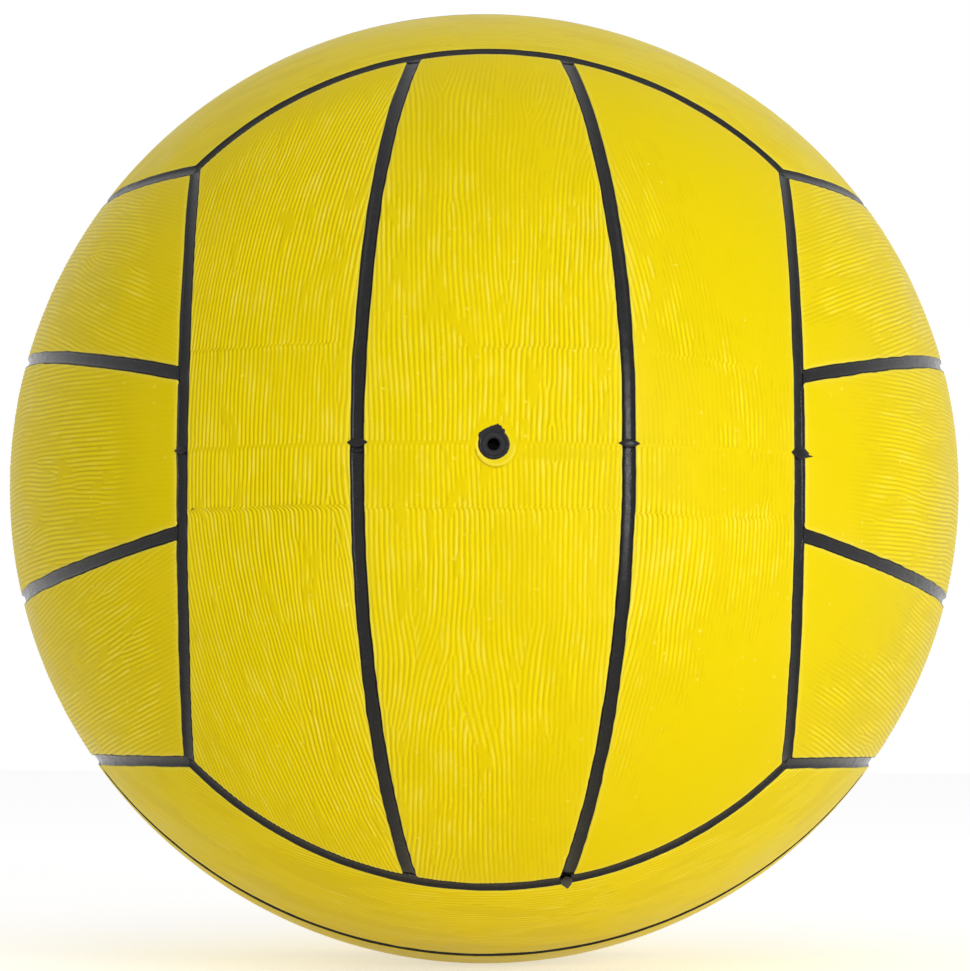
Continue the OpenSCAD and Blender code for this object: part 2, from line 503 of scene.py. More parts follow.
@dataclass(frozen=True)
class ValveSeat:
    """The smooth rubber round the valve: a lip with a painted highlight, and a ring groove outside it at its
    lower left with painted shade.

    The lip and the groove lie on rings round ring_x, ring_z, and the ribs begin again between ribs_from and
    ribs_to from the needle's hole. Lengths are in millimetres.
    """

    ribs_from: float = 4.2
    ribs_to: float = 5.4
    ring_x: float = 0.4
    ring_z: float = -0.45
    groove_r: float = 4.15
    groove_w: float = 0.17
    groove_fall: float = 0.3
    lip_r: float = 3.7
    lip_w: float = 0.3
    flat_fall: float = 0.05
    # Radius and width of the painted highlight round the bore's edge.
    rim_r: float = 3.3
    rim_w: float = 0.22
    sunk: float = 0.14

    def away(self, points: np.ndarray) -> np.ndarray:
        """0 on the seat and 1 away from it, for places in the ball's frame."""
        return ramp(np.hypot(points[:, 0], points[:, 2]), self.ribs_from, self.ribs_to)

    def press(
        self, points: np.ndarray, fall: np.ndarray, share: np.ndarray, rim: np.ndarray
    ) -> tuple[np.ndarray, np.ndarray, np.ndarray, np.ndarray]:
        """Smooths the ribs round the valve, raises the lip and paints a highlight on it and on the bore's
        edge, and sinks the ring groove below it, with painted shade in it.

        Args:
            points: Places on the bare ball, one row each.
            fall: Millimetres below the crests.
            share: Share of a groove's depth.
            rim: How much painted highlight each place gets.

        Returns:
            The last three, changed round the valve with the ring groove's share set for painted shade, and
            how deep in the ring groove each place is.
        """
        x, z = points[:, 0], points[:, 2]
        reach = np.hypot(x, z)
        ring = np.hypot(x - self.ring_x, z - self.ring_z)
        clear = ramp(reach + 0.5 * noise(x / 1.6, z / 2.6, 51), self.ribs_from, self.ribs_to)
        low = ramp(-z, 0.6, 1.2) * (1 - 0.75 * ramp(x, 0.8, 3.8))
        groove = low * np.exp(-(((ring - self.groove_r) / self.groove_w) ** 2))
        lip = ramp(-z, -1.0, 1.0) * np.exp(-(((ring - self.lip_r) / self.lip_w) ** 2))
        inner = np.exp(-(((reach - self.rim_r) / self.rim_w) ** 2))
        inward = self.sunk * (1 - ramp(reach, 3.0, 3.45))
        flat = self.flat_fall - self.flat_fall * lip
        fall = fall * clear + (1 - clear) * flat + self.groove_fall * groove + inward
        # Painted highlight: the lip and the bore's edge are paled.
        rim = np.maximum(rim * clear, 0.5 * lip + 0.5 * inner)
        # The ring groove counts as a full groove, so the finish paints shade in it.
        return fall, np.maximum(share * clear, groove), rim, groove


@dataclass
class Panel:
    """One yellow panel of the cover, ribbed outside, with walls down to the carcass and a plain inner skin.

    The skin is a grid along the ribs, cut to the panel's edges. Its rows are closer together in zones round
    the lines and the valve, and rings of vertices beside the edges carry the rounded rim. Lengths are in
    millimetres.
    """

    sizes: BallSizes
    face: Face
    side: int
    style: RibStyle
    pierced: bool = False
    columns_per_rib: int = 6
    row_gap: float = 1.0
    fine_gap: float = 0.3
    inner_gap: float = 6.5
    reach_angle: float = math.radians(54.4)
    spare: float = 2.0
    line_zone: float = 1.4
    slope_zone: float = 8.0
    seat_zone: float = 1.8
    zone_fade: float = 1.5
    edge_rings: tuple[float, ...] = (0.04, 0.12, 0.3)
    edge_fall: float = 0.05
    corner_r: float = 0.45
    scallop: float = 0.08
    # Width of the painted highlight along the edges, in millimetres.
    rim_w: float = 0.3
    cement_w: float = 0.06
    margin_w: float = 5.0
    parting_height: float = 0.27
    parting_w: float = 0.3
    parting_fall: float = 0.05
    hole_margin: float = 1.5

    @property
    def name(self) -> str:
        """The panel's node name."""
        middle = "centre" if self.side == 0 else self.face.side_name(self.side)
        return f"{self.face.label}_{middle}_panel"

    @property
    def seed(self) -> int:
        """The panel's own seed."""
        return seed_of(self.name)

    @property
    def tilt(self) -> float:
        """The angle of the panel's own middle rib from the face's middle."""
        return self.side * self.sizes.side_tilt

    @property
    def half_width(self) -> float:
        """Half the width of the grid that the panel is cut from."""
        s = self.sizes
        return s.radius * (s.inner_angle if self.side == 0 else s.side_tilt - s.inner_angle) + self.spare

    def cuts(self) -> tuple[Cut, ...]:
        """The planes that bound the panel, its ends' first.

        Returns:
            Two planes for a centre panel and three for a side panel.
        """
        s = self.sizes
        end = -s.radius * math.cos(s.circle_angle - s.channel_half)
        sine, cosine = math.sin(s.inner_angle), math.cos(s.inner_angle)
        half = s.channel_w / 2
        label = self.face.label
        found = [Cut((-1, 0, 0), end, f"{label}_ends")]
        if self.side == 0:
            for side in (1, -1):
                key = f"{label}_{self.face.side_name(side)}_near"
                found.append(Cut((-sine, side * cosine, 0), -half, key))
        else:
            key = f"{label}_{self.face.side_name(self.side)}"
            long_side = s.radius * math.cos(s.circle_angle + s.channel_half)
            found.append(Cut((sine, -self.side * cosine, 0), -half, f"{key}_far"))
            found.append(Cut((0, self.side, 0), long_side, f"{key}_outer"))
        return tuple(found)

    def trim(self, sheet: bmesh.types.BMesh, cut: Cut, offset: float, clear: bool) -> None:
        """Cuts a sheet along one of the panel's planes at an offset, and clears what is beyond if asked."""
        cut_sheet(sheet, Vector(np.array(cut.normal) @ self.face.axes), offset, clear)

    def row_places(self) -> np.ndarray:
        """Places of the rows along the ribs, closer together where lines cross them and round the valve.

        Returns:
            The places in millimetres, in rising order.
        """
        s = self.sizes
        lines = self.style.lines
        zones = [(line.height, self.line_zone + self.slope_zone * abs(line.slope)) for line in lines]
        if self.pierced:
            zones.append((0.0, s.valve_hole_r + self.seat_zone))
        faded = [(middle, near, near + self.zone_fade) for middle, near in zones]
        return spaced_places(s.radius * self.reach_angle, self.row_gap, self.fine_gap, faded)

    def directions(self, across: np.ndarray, along: np.ndarray) -> np.ndarray:
        """Where places on the panel lie, seen from the ball's middle.

        Args:
            across: Their millimetres across the ribs from the panel's middle rib.
            along: Their millimetres along the ribs.

        Returns:
            Unit rows in the face's u, v, w.
        """
        s, t = across / self.sizes.radius, along / self.sizes.radius
        out, over, up = np.cos(s) * np.cos(t), np.sin(s), np.cos(s) * np.sin(t)
        cosine, sine = math.cos(self.tilt), math.sin(self.tilt)
        return np.stack([out * cosine - over * sine, out * sine + over * cosine, up], axis=1)

    def spots(self, local: np.ndarray) -> tuple[np.ndarray, np.ndarray]:
        """The angles across the face in degrees and the heights along it in millimetres of unit rows."""
        return np.degrees(np.arctan2(local[:, 1], local[:, 0])), self.sizes.radius * local[:, 2]

    def sway(self, across: np.ndarray, along: np.ndarray) -> np.ndarray:
        """How far each rib strays sideways.

        Args:
            across: Places across the ribs in millimetres.
            along: Places along them.

        Returns:
            Millimetres across the ribs.
        """
        seed, style = self.seed, self.style
        sway = np.zeros_like(across)
        for share, wide, tall, page in SWAYS:
            sway += share * style.wander * noise(across / wide, along / tall, seed + page)
        angle, height = self.spots(self.directions(across, along))
        for line in style.lines:
            above, presence = line.above(angle, height), line.presence(angle)
            sway += presence * line.jump * (0.5 + 0.5 * np.tanh(above / line.jump_reach))
            below = np.exp(np.minimum(above, 0) / line.hook_reach) * (above < 0.2)
            uneven = 0.8 + 0.4 * noise(across / 4.2, 0 * along, seed + 5)
            sway -= presence * line.hook * below * uneven
            sway += presence * line.lean * np.clip(-above, 0, LEAN_LENGTH)
        return sway

    def skin(self) -> bpy.types.Mesh:
        """Makes the outer skin on the bare ball, its vertices along the ribs, cut to the panel's edges.

        Returns:
            The mesh, with each vertex's place across and along the ribs as attributes.
        """
        s = self.sizes
        column_gap = self.style.pitch / self.columns_per_rib
        leaning = max((abs(line.lean) for line in self.style.lines), default=0)
        half_columns = math.ceil((self.half_width + LEAN_LENGTH * leaning) / column_gap)
        places = self.row_places()
        mesh, column, row = grid_mesh(self.name, 2 * half_columns, len(places) - 1)
        across = (column - half_columns) * column_gap
        along = places[row.astype(int)]
        local = self.directions(across + self.sway(across, along), along)
        move_points(mesh, s.radius * local @ self.face.axes)
        new_attribute(mesh, "across", across)
        new_attribute(mesh, "along", along)
        sheet = sheet_of(mesh)
        for cut in self.cuts():
            self.trim(sheet, cut, cut.offset, True)
        for cut in self.cuts():
            start = math.acos(cut.offset / s.radius)
            for ring in self.edge_rings:
                self.trim(sheet, cut, s.radius * math.cos(start + ring / s.radius), False)
        bmesh.ops.remove_doubles(sheet, verts=sheet.verts, dist=0.012)
        write_sheet(sheet, mesh)
        return mesh

    def forks(self, across: np.ndarray, along: np.ndarray) -> np.ndarray:
        """How far forks shift the ribs: round each fork the count of ribs changes by one.

        The forks come in short rows along the ribs. In most rows they cancel in turn, so that a rib starts
        and stops again, and in the others the ribs on one side lean and run out one by one.

        Args:
            across: Places across the ribs in millimetres.
            along: Places along them.

        Returns:
            The shift at each place, in pitches.
        """
        style = self.style
        draw = np.random.default_rng(self.seed)
        wide, tall = float(np.abs(across).max()), float(np.abs(along).max())
        shift = np.zeros_like(across)
        for _ in range(style.chains):
            x, y = draw.uniform(-wide, wide), draw.uniform(-tall, tall)
            sign, count = draw.choice((-1, 1)), draw.integers(*style.chain_forks)
            gap = draw.uniform(*style.fork_gap)
            drift = draw.uniform(-style.chain_drift, style.chain_drift)
            cancel = -1 if draw.random() < style.cancelling else 1
            gap += style.cancel_gap * (cancel < 0)
            for step in range(count):
                turn = np.arctan2(along - y - step * gap, across - x - step * drift * gap)
                shift += sign * cancel**step * turn / (2 * math.pi)
        return shift

    def strength(
        self, place: np.ndarray, spot: np.ndarray, ends: np.ndarray
    ) -> tuple[np.ndarray, np.ndarray]:
        """How strong the ribs are, apart from the lines that cross them.

        Args:
            place: Rows of places across and along the ribs in millimetres.
            spot: Rows of the angle across the face in degrees and the height along it in millimetres.
            ends: Millimetres from the panel's ends.

        Returns:
            The strength, 1 where the ribs have their full depth, and how far each place is in an island.
        """
        style, seed = self.style, self.seed
        (across, along), (angle, height) = place, spot
        strength = style.even + style.slow * noise(across / 13, along / 20, seed + 4)
        strength += style.quick * noise(across / 1.8, along / 8, seed + 2)
        strength *= 1 - style.fade * ramp(noise(across / 3.6, along / 15, seed + 3), 0.1, 0.6)
        island = noise(across / 2.6, along / 8.5, seed + 6)
        island = island + 0.35 * noise(across / 1.1, along / 3.4, seed + 5)
        island = ramp(island, 0.62, 0.8) * style.islands
        strength *= 1 - 0.9 * island
        from_end = ends + 2.5 * noise(across / 6, along / 9, seed + 7)
        loose = 1 - ramp(from_end, 0.3 * style.end_reach, style.end_reach)
        strength *= 1 - style.end_calm * loose * np.where(height > 0, 1, style.low_end)
        for patch in style.patches:
            strength *= 1 - patch.calmness(angle, height)
        return strength, island

    def ribs(self, place: np.ndarray, spot: np.ndarray, ends: np.ndarray) -> tuple[np.ndarray, ...]:
        """The ribs' relief.

        Args:
            place: Rows of places across and along the ribs in millimetres.
            spot: Rows of the angle across the face in degrees and the height along it in millimetres.
            ends: Millimetres from the panel's ends.

        Returns:
            How far each place lies below the crests in millimetres, its share of a full groove's depth, and
            how much painted highlight it gets as part of a rib's crest.
        """
        style = self.style
        (across, along), (angle, height) = place, spot
        phase = across / style.pitch + self.forks(across, along)
        profile = np.abs(np.cos(math.pi * phase)) ** style.sharpness
        strength, island = self.strength(place, spot, ends)
        fall = -style.island_rise * island
        for line in style.lines:
            above, presence = line.above(angle, height), line.presence(angle)
            strength *= 1 - presence * np.exp(-((above / line.width) ** 2))
            beside = (np.abs(above) - 2.4 * line.width) / line.tip_w
            strength *= 1 + line.tips * presence * np.exp(-(beside**2))
            step = 0.5 - 0.5 * np.tanh(above / line.ledge_w)
            fall += presence * line.ledge * step * np.exp(np.minimum(above, 0) / line.ledge_reach)
            fall -= presence * line.bead * np.exp(-((above / line.bead_w) ** 2))
            groove = (above + line.groove_drop) / line.groove_w
            fall += presence * line.bead * line.groove_share * np.exp(-(groove**2))
        share = profile * np.clip(strength, 0, 1.4)
        fall += style.depth * share + style.uneven * noise(across / 0.9, along / 2.6, self.seed + 8)
        return fall, share, (1 - profile) * ramp(strength, 0.3, 0.9)

    def shape(self, mesh: bpy.types.Mesh) -> None:
        """Gives the skin its ribs, its rounded edges and the attributes that its finish reads.

        Args:
            mesh: The skin, on the bare ball.
        """
        s = self.sizes
        across, along = read_attribute(mesh, "across"), read_attribute(mesh, "along")
        points = points_of(mesh)
        local = points @ self.face.axes.T
        local /= np.linalg.norm(local, axis=1, keepdims=True)
        depths = [np.maximum(cut.inside(local, s.radius), 0) for cut in self.cuts()]
        edge = np.minimum.reduce(depths)
        fall, share, worn = self.ribs(np.array([across, along]), np.array(self.spots(local)), depths[0])
        if self.face in (Face.LEFT, Face.RIGHT):
            above = (points[:, 2] - self.parting_height) / self.parting_w
            fall += self.parting_fall * np.exp(-(above**2))
        moved = local + self.rounded_corners(local, depths)
        for cut, inside in zip(self.cuts(), depths):
            stray = edge_wander(s.radius * local @ self.face.axes, cut.key) + self.scallop * share
            stray *= 1 - ramp(inside, 0.3, 1.8)
            moved += cut.inward(local) * (stray / s.radius)[:, None]
        moved /= np.linalg.norm(moved, axis=1, keepdims=True)
        near = np.clip(edge, 0, s.bevel)
        fall = fall * ramp(edge, 0.0, 0.3)
        fall += s.bevel - np.sqrt(np.maximum(s.bevel**2 - (s.bevel - near) ** 2, 0))
        fall += self.edge_fall * (1 - ramp(edge, 0.2, 1.0))
        # Painted highlight along the panel's edges, over the rounded rim.
        rim = np.exp(-edge / self.rim_w)
        cement = 1 - ramp(edge, 0.0, self.cement_w)
        if self.pierced:
            seat = ValveSeat()
            fall, share, rim, groove = seat.press(s.radius * local @ self.face.axes, fall, share, rim)
            # Painted shade in the valve's ring groove, half way to the cement's black.
            cement = np.maximum(cement, 0.5 * groove)
            worn *= seat.away(points)
        move_points(mesh, (s.crest_radius - fall)[:, None] * (moved @ self.face.axes))
        # relief: 0 deep in a groove, where the finish paints shade, to 1 on the crests.
        new_attribute(mesh, "relief", 1 - np.clip(share, 0, 1))
        # How much painted highlight each rib's crest gets.
        new_attribute(mesh, "worn", worn)
        new_attribute(mesh, "rim", rim)
        new_attribute(mesh, "margin", np.exp(-edge / self.margin_w))
        new_attribute(mesh, "cement", cement)
        page = np.full_like(across, self.seed % GRAIN_PAGES)
        new_attribute(mesh, "grain", np.stack([across, along, page], axis=1))

    def rounded_corners(self, local: np.ndarray, depths: list[np.ndarray]) -> np.ndarray:
        """How the panel's corners are drawn in to a small radius.

        Args:
            local: Unit rows in u, v, w.
            depths: Millimetres inside each of the panel's cuts.

        Returns:
            A move for each row, for a ball of radius one.
        """
        move = np.zeros_like(local)
        for (cut_a, depth_a), (cut_b, depth_b) in combinations(zip(self.cuts(), depths), 2):
            a = np.maximum(self.corner_r - depth_a, 0)
            b = np.maximum(self.corner_r - depth_b, 0)
            shrink = 1 - np.maximum(a, b) / np.maximum(np.hypot(a, b), 1e-6)
            push = cut_a.inward(local) * a[:, None] + cut_b.inward(local) * b[:, None]
            move += push * (shrink / self.sizes.radius)[:, None]
        return move

    def pierce(self, sheet: bmesh.types.BMesh) -> None:
        """Opens the round hole for the valve in a sheet.

        Args:
            sheet: The outer skin.
        """
        reach = self.sizes.valve_hole_r
        inner = [f for f in sheet.faces if math.hypot(*f.calc_center_median().xz) < reach]
        bmesh.ops.delete(sheet, geom=inner, context="FACES")
        for vertex in {v for e in border_of(sheet) for v in e.verts}:
            distance = math.hypot(*vertex.co.xz)
            if distance < reach + self.hole_margin:
                vertex.co.x *= reach / distance
                vertex.co.z *= reach / distance

    def inner_skin(self) -> bpy.types.Mesh:
        """Makes the coarse inner skin at the cover's inside, cut like the outer one.

        Returns:
            The mesh, open at its edge and, in the pierced panel, at the valve.
        """
        s = self.sizes
        wide, tall = self.half_width, s.radius * self.reach_angle
        columns, rows = (2 * math.ceil(reach / self.inner_gap) for reach in (wide, tall))
        mesh, column, row = grid_mesh(self.name + "_inner", columns, rows)
        local = self.directions((2 * column / columns - 1) * wide, (2 * row / rows - 1) * tall)
        move_points(mesh, s.cover_in * local @ self.face.axes)
        sheet = sheet_of(mesh)
        for cut in self.cuts():
            self.trim(sheet, cut, cut.offset * s.cover_in / s.radius, True)
        border = [v for v in sheet.verts if v.is_boundary]
        bmesh.ops.remove_doubles(sheet, verts=border, dist=1.7)
        if self.pierced:
            middle = min(sheet.verts, key=lambda v: math.hypot(*v.co.xz))
            bmesh.ops.delete(sheet, geom=[middle], context="VERTS")
        write_sheet(sheet, mesh)
        new_attribute(mesh, "cement", np.ones(len(mesh.vertices)))
        return mesh

    def close(self, mesh: bpy.types.Mesh) -> None:
        """Adds the walls and the inner skin to the shaped outer skin.

        Args:
            mesh: The outer skin.
        """
        s = self.sizes
        sheet = sheet_of(mesh)
        if self.pierced:
            self.pierce(sheet)
        for radius in (s.strip_out - 0.1, s.cover_in):
            grown = bmesh.ops.extrude_edge_only(sheet, edges=border_of(sheet))["geom"]
            lower = [v for v in grown if isinstance(v, bmesh.types.BMVert)]
            for vertex in lower:
                vertex.co = vertex.co.normalized() * radius
        inner = self.inner_skin()
        count = len(sheet.verts)
        sheet.from_mesh(inner)
        bpy.data.meshes.remove(inner)
        sheet.verts.ensure_lookup_table()
        border = [v for v in sheet.verts[count:] if v.is_boundary]
        tree = KDTree(len(border))
        for index, vertex in enumerate(border):
            tree.insert(vertex.co, index)
        tree.balance()
        hole_reach = s.valve_hole_r + 1
        outer = [v for v in lower if not self.pierced or math.hypot(*v.co.xz) > hole_reach]
        bmesh.ops.weld_verts(sheet, targetmap={v: border[tree.find(v.co)[1]] for v in outer})
        left = border_of(sheet)
        if left:
            bmesh.ops.triangle_fill(sheet, use_beauty=True, edges=left)
        bmesh.ops.dissolve_degenerate(sheet, dist=1e-4, edges=sheet.edges)
        crowded = {f for e in sheet.edges if len(e.link_faces) > 2 for f in e.link_faces}
        bmesh.ops.delete(sheet, geom=list(crowded), context="FACES")
        bmesh.ops.holes_fill(sheet, edges=border_of(sheet), sides=0)
        write_closed(sheet, mesh)

    def build(self, material: bpy.types.Material) -> bpy.types.Object:
        """Makes the panel and dresses it in a material.

        Args:
            material: The yellow rubber.

        Returns:
            The finished piece.
        """
        mesh = self.skin()
        self.shape(mesh)
        self.close(mesh)
        for name in ("across", "along"):
            mesh.attributes.remove(mesh.attributes[name])
        return finish_mesh(mesh, material, "ball", "yellow_rubber", self.name)


@dataclass(frozen=True)
class Collar:
    """A flash of black rubber where the mould's parting line crosses a strip, in millimetres."""

    height: float
    low_reach: float
    high_reach: float
    half_height: float = 0.8
    rise: float = 0.32
    sink: float = 0.5
    lift: float = 0.04


@dataclass
class Strip:
    """One black strip in its channel, a closed section with low lips along the channel's walls.

    The half width has vertices at floor_places, and the lips rise to lip_h with the power hollow of the
    distance from the middle. The sides have a row side_drop below the top and go down to the cover's
    inside. Rows are closer together round collars, over collar_zone. Lengths are in millimetres.
    """

    kind: ClassVar[str]

    sizes: BallSizes
    face: Face
    side: int
    collars: tuple[Collar, ...] = ()
    row_gap: float = 0.9
    fine_gap: float = 0.16
    collar_zone: tuple[float, float] = (1.2, 2.4)
    floor_places: tuple[float, ...] = (0.0, 0.28, 0.52, 0.72, 0.86, 0.94, 1.0)
    lip_h: float = 0.56
    hollow: float = 5.0
    side_drop: float = 0.2
    uneven: float = 0.02

    @property
    def name(self) -> str:
        """The strip's node name."""
        return f"{self.face.label}_{self.face.side_name(self.side)}_{self.kind}_strip"

    @property
    def reach(self) -> float:
        """How far the strip is swept to either side of its middle, before its ends are cut."""
        raise NotImplementedError

    def keys(self) -> tuple[str, str]:
        """Which panel edges lie at the strip's -v and +v sides."""
        raise NotImplementedError

    def place(self, along: np.ndarray, across: np.ndarray, radius: np.ndarray) -> np.ndarray:
        """Rows in the face's u, v, w for places along and across the strip in millimetres.

        Args:
            along: Millimetres along the strip from its middle.
            across: Millimetres across it.
            radius: Millimetres from the ball's middle.

        Returns:
            One row for each place.
        """
        raise NotImplementedError

    def lip_gaps(self, along: np.ndarray, share: np.ndarray) -> np.ndarray:
        """How much of its lips the strip lacks, by the place along it and the share of its half width.

        Args:
            along: Millimetres along the strip from its middle.
            share: Places across it from -1 to 1.

        Returns:
            0 where a lip is whole, to 1 where there is none.
        """
        raise NotImplementedError

    def planes(self) -> list[tuple[np.ndarray, float]]:
        """The planes that cut the strip's ends: normals in u, v, w, and offsets."""
        raise NotImplementedError

    def section(self) -> tuple[np.ndarray, np.ndarray]:
        """The closed section: half widths as shares from -1 to 1, and the depth under the strip's top.

        Returns:
            The two, point by point round the section. A depth below zero is a lip's height.
        """
        s = self.sizes
        half = [*(-np.array(self.floor_places[::-1])), *self.floor_places[1:]]
        depth = [-self.lip_h * abs(x) ** self.hollow for x in half]
        below = s.strip_out - s.cover_in
        across = np.array([*half, 1.0, 1.0, 0.0, -1.0, -1.0, half[0]])
        return across, np.array([*depth, self.side_drop, below, below, below, self.side_drop, depth[0]])

    def skin(self) -> bpy.types.Mesh:
        """Sweeps the section along the strip's channel.

        Returns:
            The mesh, still open at both ends.
        """
        s = self.sizes
        share, depth = self.section()
        zones = [(collar.height, *self.collar_zone) for collar in self.collars]
        places = spaced_places(self.reach, self.row_gap, self.fine_gap, zones)
        mesh, column, row = grid_mesh(self.name, len(share) - 1, len(places) - 1)
        column = column.astype(int)
        along = places[row.astype(int)]
        across = share[column] * s.strip_w / 2
        fall = depth[column]
        on_top = fall < 0.15
        lip = np.maximum(-fall, 0) * (1 - self.lip_gaps(along, share[column]))
        fall = np.where(on_top, 0.0, fall) - lip
        half, surface = np.full_like(along, s.channel_w / 2), np.full_like(along, s.radius)
        low_key, high_key = self.keys()
        low = edge_wander(self.place(along, -half, surface) @ self.face.axes, low_key)
        high = edge_wander(self.place(along, half, surface) @ self.face.axes, high_key)
        across += np.where(share[column] > 0, high, -low) * np.abs(share[column])
        fall += on_top * self.uneven * noise(across / 0.7, along / 1.6, seed_of(self.name))
        move_points(mesh, self.place(along, across, s.strip_out - fall) @ self.face.axes)
        return mesh

    def add_collar(self, sheet: bmesh.types.BMesh, collar: Collar) -> None:
        """Lays one pointed bead of rubber across the strip, with its points on the panels beside it.

        Args:
            sheet: The strip, which gets the bead.
            collar: The bead's sizes.
        """
        s = self.sizes
        made = bmesh.ops.create_uvsphere(sheet, u_segments=20, v_segments=16, radius=1.0)["verts"]
        shape = np.array([v.co[:] for v in made])
        over = shape[:, 2]
        reach = np.where(over > 0, collar.high_reach, collar.low_reach) + s.strip_w / 2
        girth = np.clip(1.1 - np.abs(over) ** 1.7, 0, 1) * np.sqrt(np.maximum(1 - over**2, 0)) ** 0.5
        ring = np.maximum(np.hypot(shape[:, 0], shape[:, 1]), 1e-6)
        along = collar.height + shape[:, 0] / ring * girth * collar.half_height
        rise = shape[:, 1] / ring * girth * np.where(shape[:, 1] > 0, collar.rise, collar.sink)
        radius = s.crest_radius + collar.lift + rise
        for vertex, point in zip(made, self.place(along, over * reach, radius) @ self.face.axes):
            vertex.co = point

    def cap(self, sheet: bmesh.types.BMesh, normal: np.ndarray, offset: float) -> None:
        """Cuts the strip off at the plane normal @ p = offset in u, v, w, and closes the cut.

        Args:
            sheet: The strip.
            normal: The plane's unit normal in u, v, w.
            offset: Its millimetres from the ball's middle.
        """
        plane = Vector(normal @ self.face.axes)
        cut_sheet(sheet, plane, offset, True)
        rim = [e for e in border_of(sheet) if all(abs(v.co @ plane - offset) < 0.01 for v in e.verts)]
        bmesh.ops.contextual_create(sheet, geom=rim)

    def build(self, material: bpy.types.Material) -> bpy.types.Object:
        """Makes the strip, closes its seam and its ends, adds its collars and dresses it in a material.

        Args:
            material: The black rubber.

        Returns:
            The finished piece.
        """
        mesh = self.skin()
        sheet = sheet_of(mesh)
        bmesh.ops.remove_doubles(sheet, verts=sheet.verts, dist=1e-3)
        for normal, offset in self.planes():
            self.cap(sheet, normal, offset)
        for collar in self.collars:
            self.add_collar(sheet, collar)
        write_closed(sheet, mesh)
        return finish_mesh(mesh, material, "ball", "black_rubber", self.name)


@dataclass
class InnerStrip(Strip):
    """A strip in one of the two channels inside a face."""

    kind: ClassVar[str] = "inner"
    lip_run: ClassVar[tuple[float, float]] = (1.8, 0.3)

    @property
    def reach(self) -> float:
        """A little more than the length that stays."""
        return self.sizes.radius * math.radians(56)

    def keys(self) -> tuple[str, str]:
        """The centre panel's edge and the side panel's, in the order of their places.

        Returns:
            The names of the two edges.
        """
        side = f"{self.face.label}_{self.face.side_name(self.side)}"
        found = (f"{side}_near", f"{side}_far")
        return found[:: self.side]

    def place(self, along: np.ndarray, across: np.ndarray, radius: np.ndarray) -> np.ndarray:
        """Places on a plane through the face's w axis, moved across it.

        Args:
            along: Millimetres along the strip from its middle.
            across: Millimetres across the strip from its middle.
            radius: Millimetres from the ball's middle.

        Returns:
            A row in the face's u, v, w for each place.
        """
        tilt = self.side * self.sizes.inner_angle
        rise = along / self.sizes.radius
        run = np.sqrt(radius**2 - across**2)
        out = run * np.cos(rise)
        u = out * math.cos(tilt) - across * math.sin(tilt)
        v = out * math.sin(tilt) + across * math.cos(tilt)
        return np.stack([u, v, run * np.sin(rise)], axis=1)

    def lip_gaps(self, along: np.ndarray, share: np.ndarray) -> np.ndarray:
        """The lips run out at the strip's ends.

        Args:
            along: Millimetres along the strip from its middle.
            share: Where each place lies across the strip, from -1 to 1.

        Returns:
            1 where a lip is left out, and 0 where it stands.
        """
        s = self.sizes
        end = s.radius * math.acos(math.cos(s.circle_angle - s.channel_half) / math.cos(s.inner_angle))
        return ramp(np.abs(along), end - self.lip_run[0], end - self.lip_run[1])

    def planes(self) -> list[tuple[np.ndarray, float]]:
        """One plane cuts both ends, in line with the ends of the panels.

        Returns:
            The unit normal of each plane in u, v, w, and its offset in millimetres.
        """
        s = self.sizes
        end = s.strip_out * math.cos(s.circle_angle - s.channel_half) + s.strip_gap
        return [(np.array([-1.0, 0, 0]), -end)]


@dataclass
class EdgeStrip(Strip):
    """A strip in the channel between two faces."""

    kind: ClassVar[str] = "edge"
    lip_break: ClassVar[tuple[float, float]] = (1.2, 2.0)

    @property
    def reach(self) -> float:
        """A little more than the length that stays."""
        return self.sizes.radius * math.sin(self.sizes.circle_angle) * math.radians(48)

    def keys(self) -> tuple[str, str]:
        """This face's long edge and the next face's ends, in the order of their places.

        Returns:
            The names of the two edges.
        """
        own = f"{self.face.label}_{self.face.side_name(self.side)}_outer"
        found = (own, f"{self.face.beyond(self.side).label}_ends")
        return found[:: self.side]

    def place(self, along: np.ndarray, across: np.ndarray, radius: np.ndarray) -> np.ndarray:
        """Places on a cone round the face's v axis.

        Args:
            along: Millimetres along the strip from its middle.
            across: Millimetres across the strip from its middle.
            radius: Millimetres from the ball's middle.

        Returns:
            A row in the face's u, v, w for each place.
        """
        s = self.sizes
        turn = along / (s.radius * math.sin(s.circle_angle))
        cone = s.circle_angle - self.side * across / s.radius
        out = radius * np.sin(cone)
        return np.stack([out * np.cos(turn), self.side * radius * np.cos(cone), out * np.sin(turn)], axis=1)

    def lip_gaps(self, along: np.ndarray, share: np.ndarray) -> np.ndarray:
        """The lip on the next face's side has a gap where that face's inner strips run in.

        Args:
            along: Millimetres along the strip from its middle.
            share: Where each place lies across the strip, from -1 to 1.

        Returns:
            1 where a lip is left out, and 0 where it stands.
        """
        s = self.sizes
        ring = s.radius * math.sin(s.circle_angle)
        meeting = ring * math.asin(s.radius * math.cos(s.circle_angle) * math.tan(s.inner_angle) / ring)
        beside = share * self.side > 0
        return beside * (1 - ramp(np.abs(np.abs(along) - meeting), *self.lip_break))

    def planes(self) -> list[tuple[np.ndarray, float]]:
        """Two planes at each end cut it to a point of 120 degrees, so that three strips meet in a corner.

        Returns:
            The unit normal of each plane in u, v, w, and its offset in millimetres.
        """
        found = []
        for end in (1, -1):
            corner = np.array([1.0, self.side, end]) / math.sqrt(3)
            into = np.cross(np.array([0, self.side, 0]), corner) * end * self.side
            into /= np.linalg.norm(into)
            over = np.cross(corner, into)
            for side in (1, -1):
                ray = math.cos(math.radians(60)) * into + side * math.sin(math.radians(60)) * over
                normal = np.cross(corner, ray)
                normal *= -np.sign(normal @ into)
                found.append((normal / np.linalg.norm(normal), -self.sizes.mitre_gap / 2))
        return found


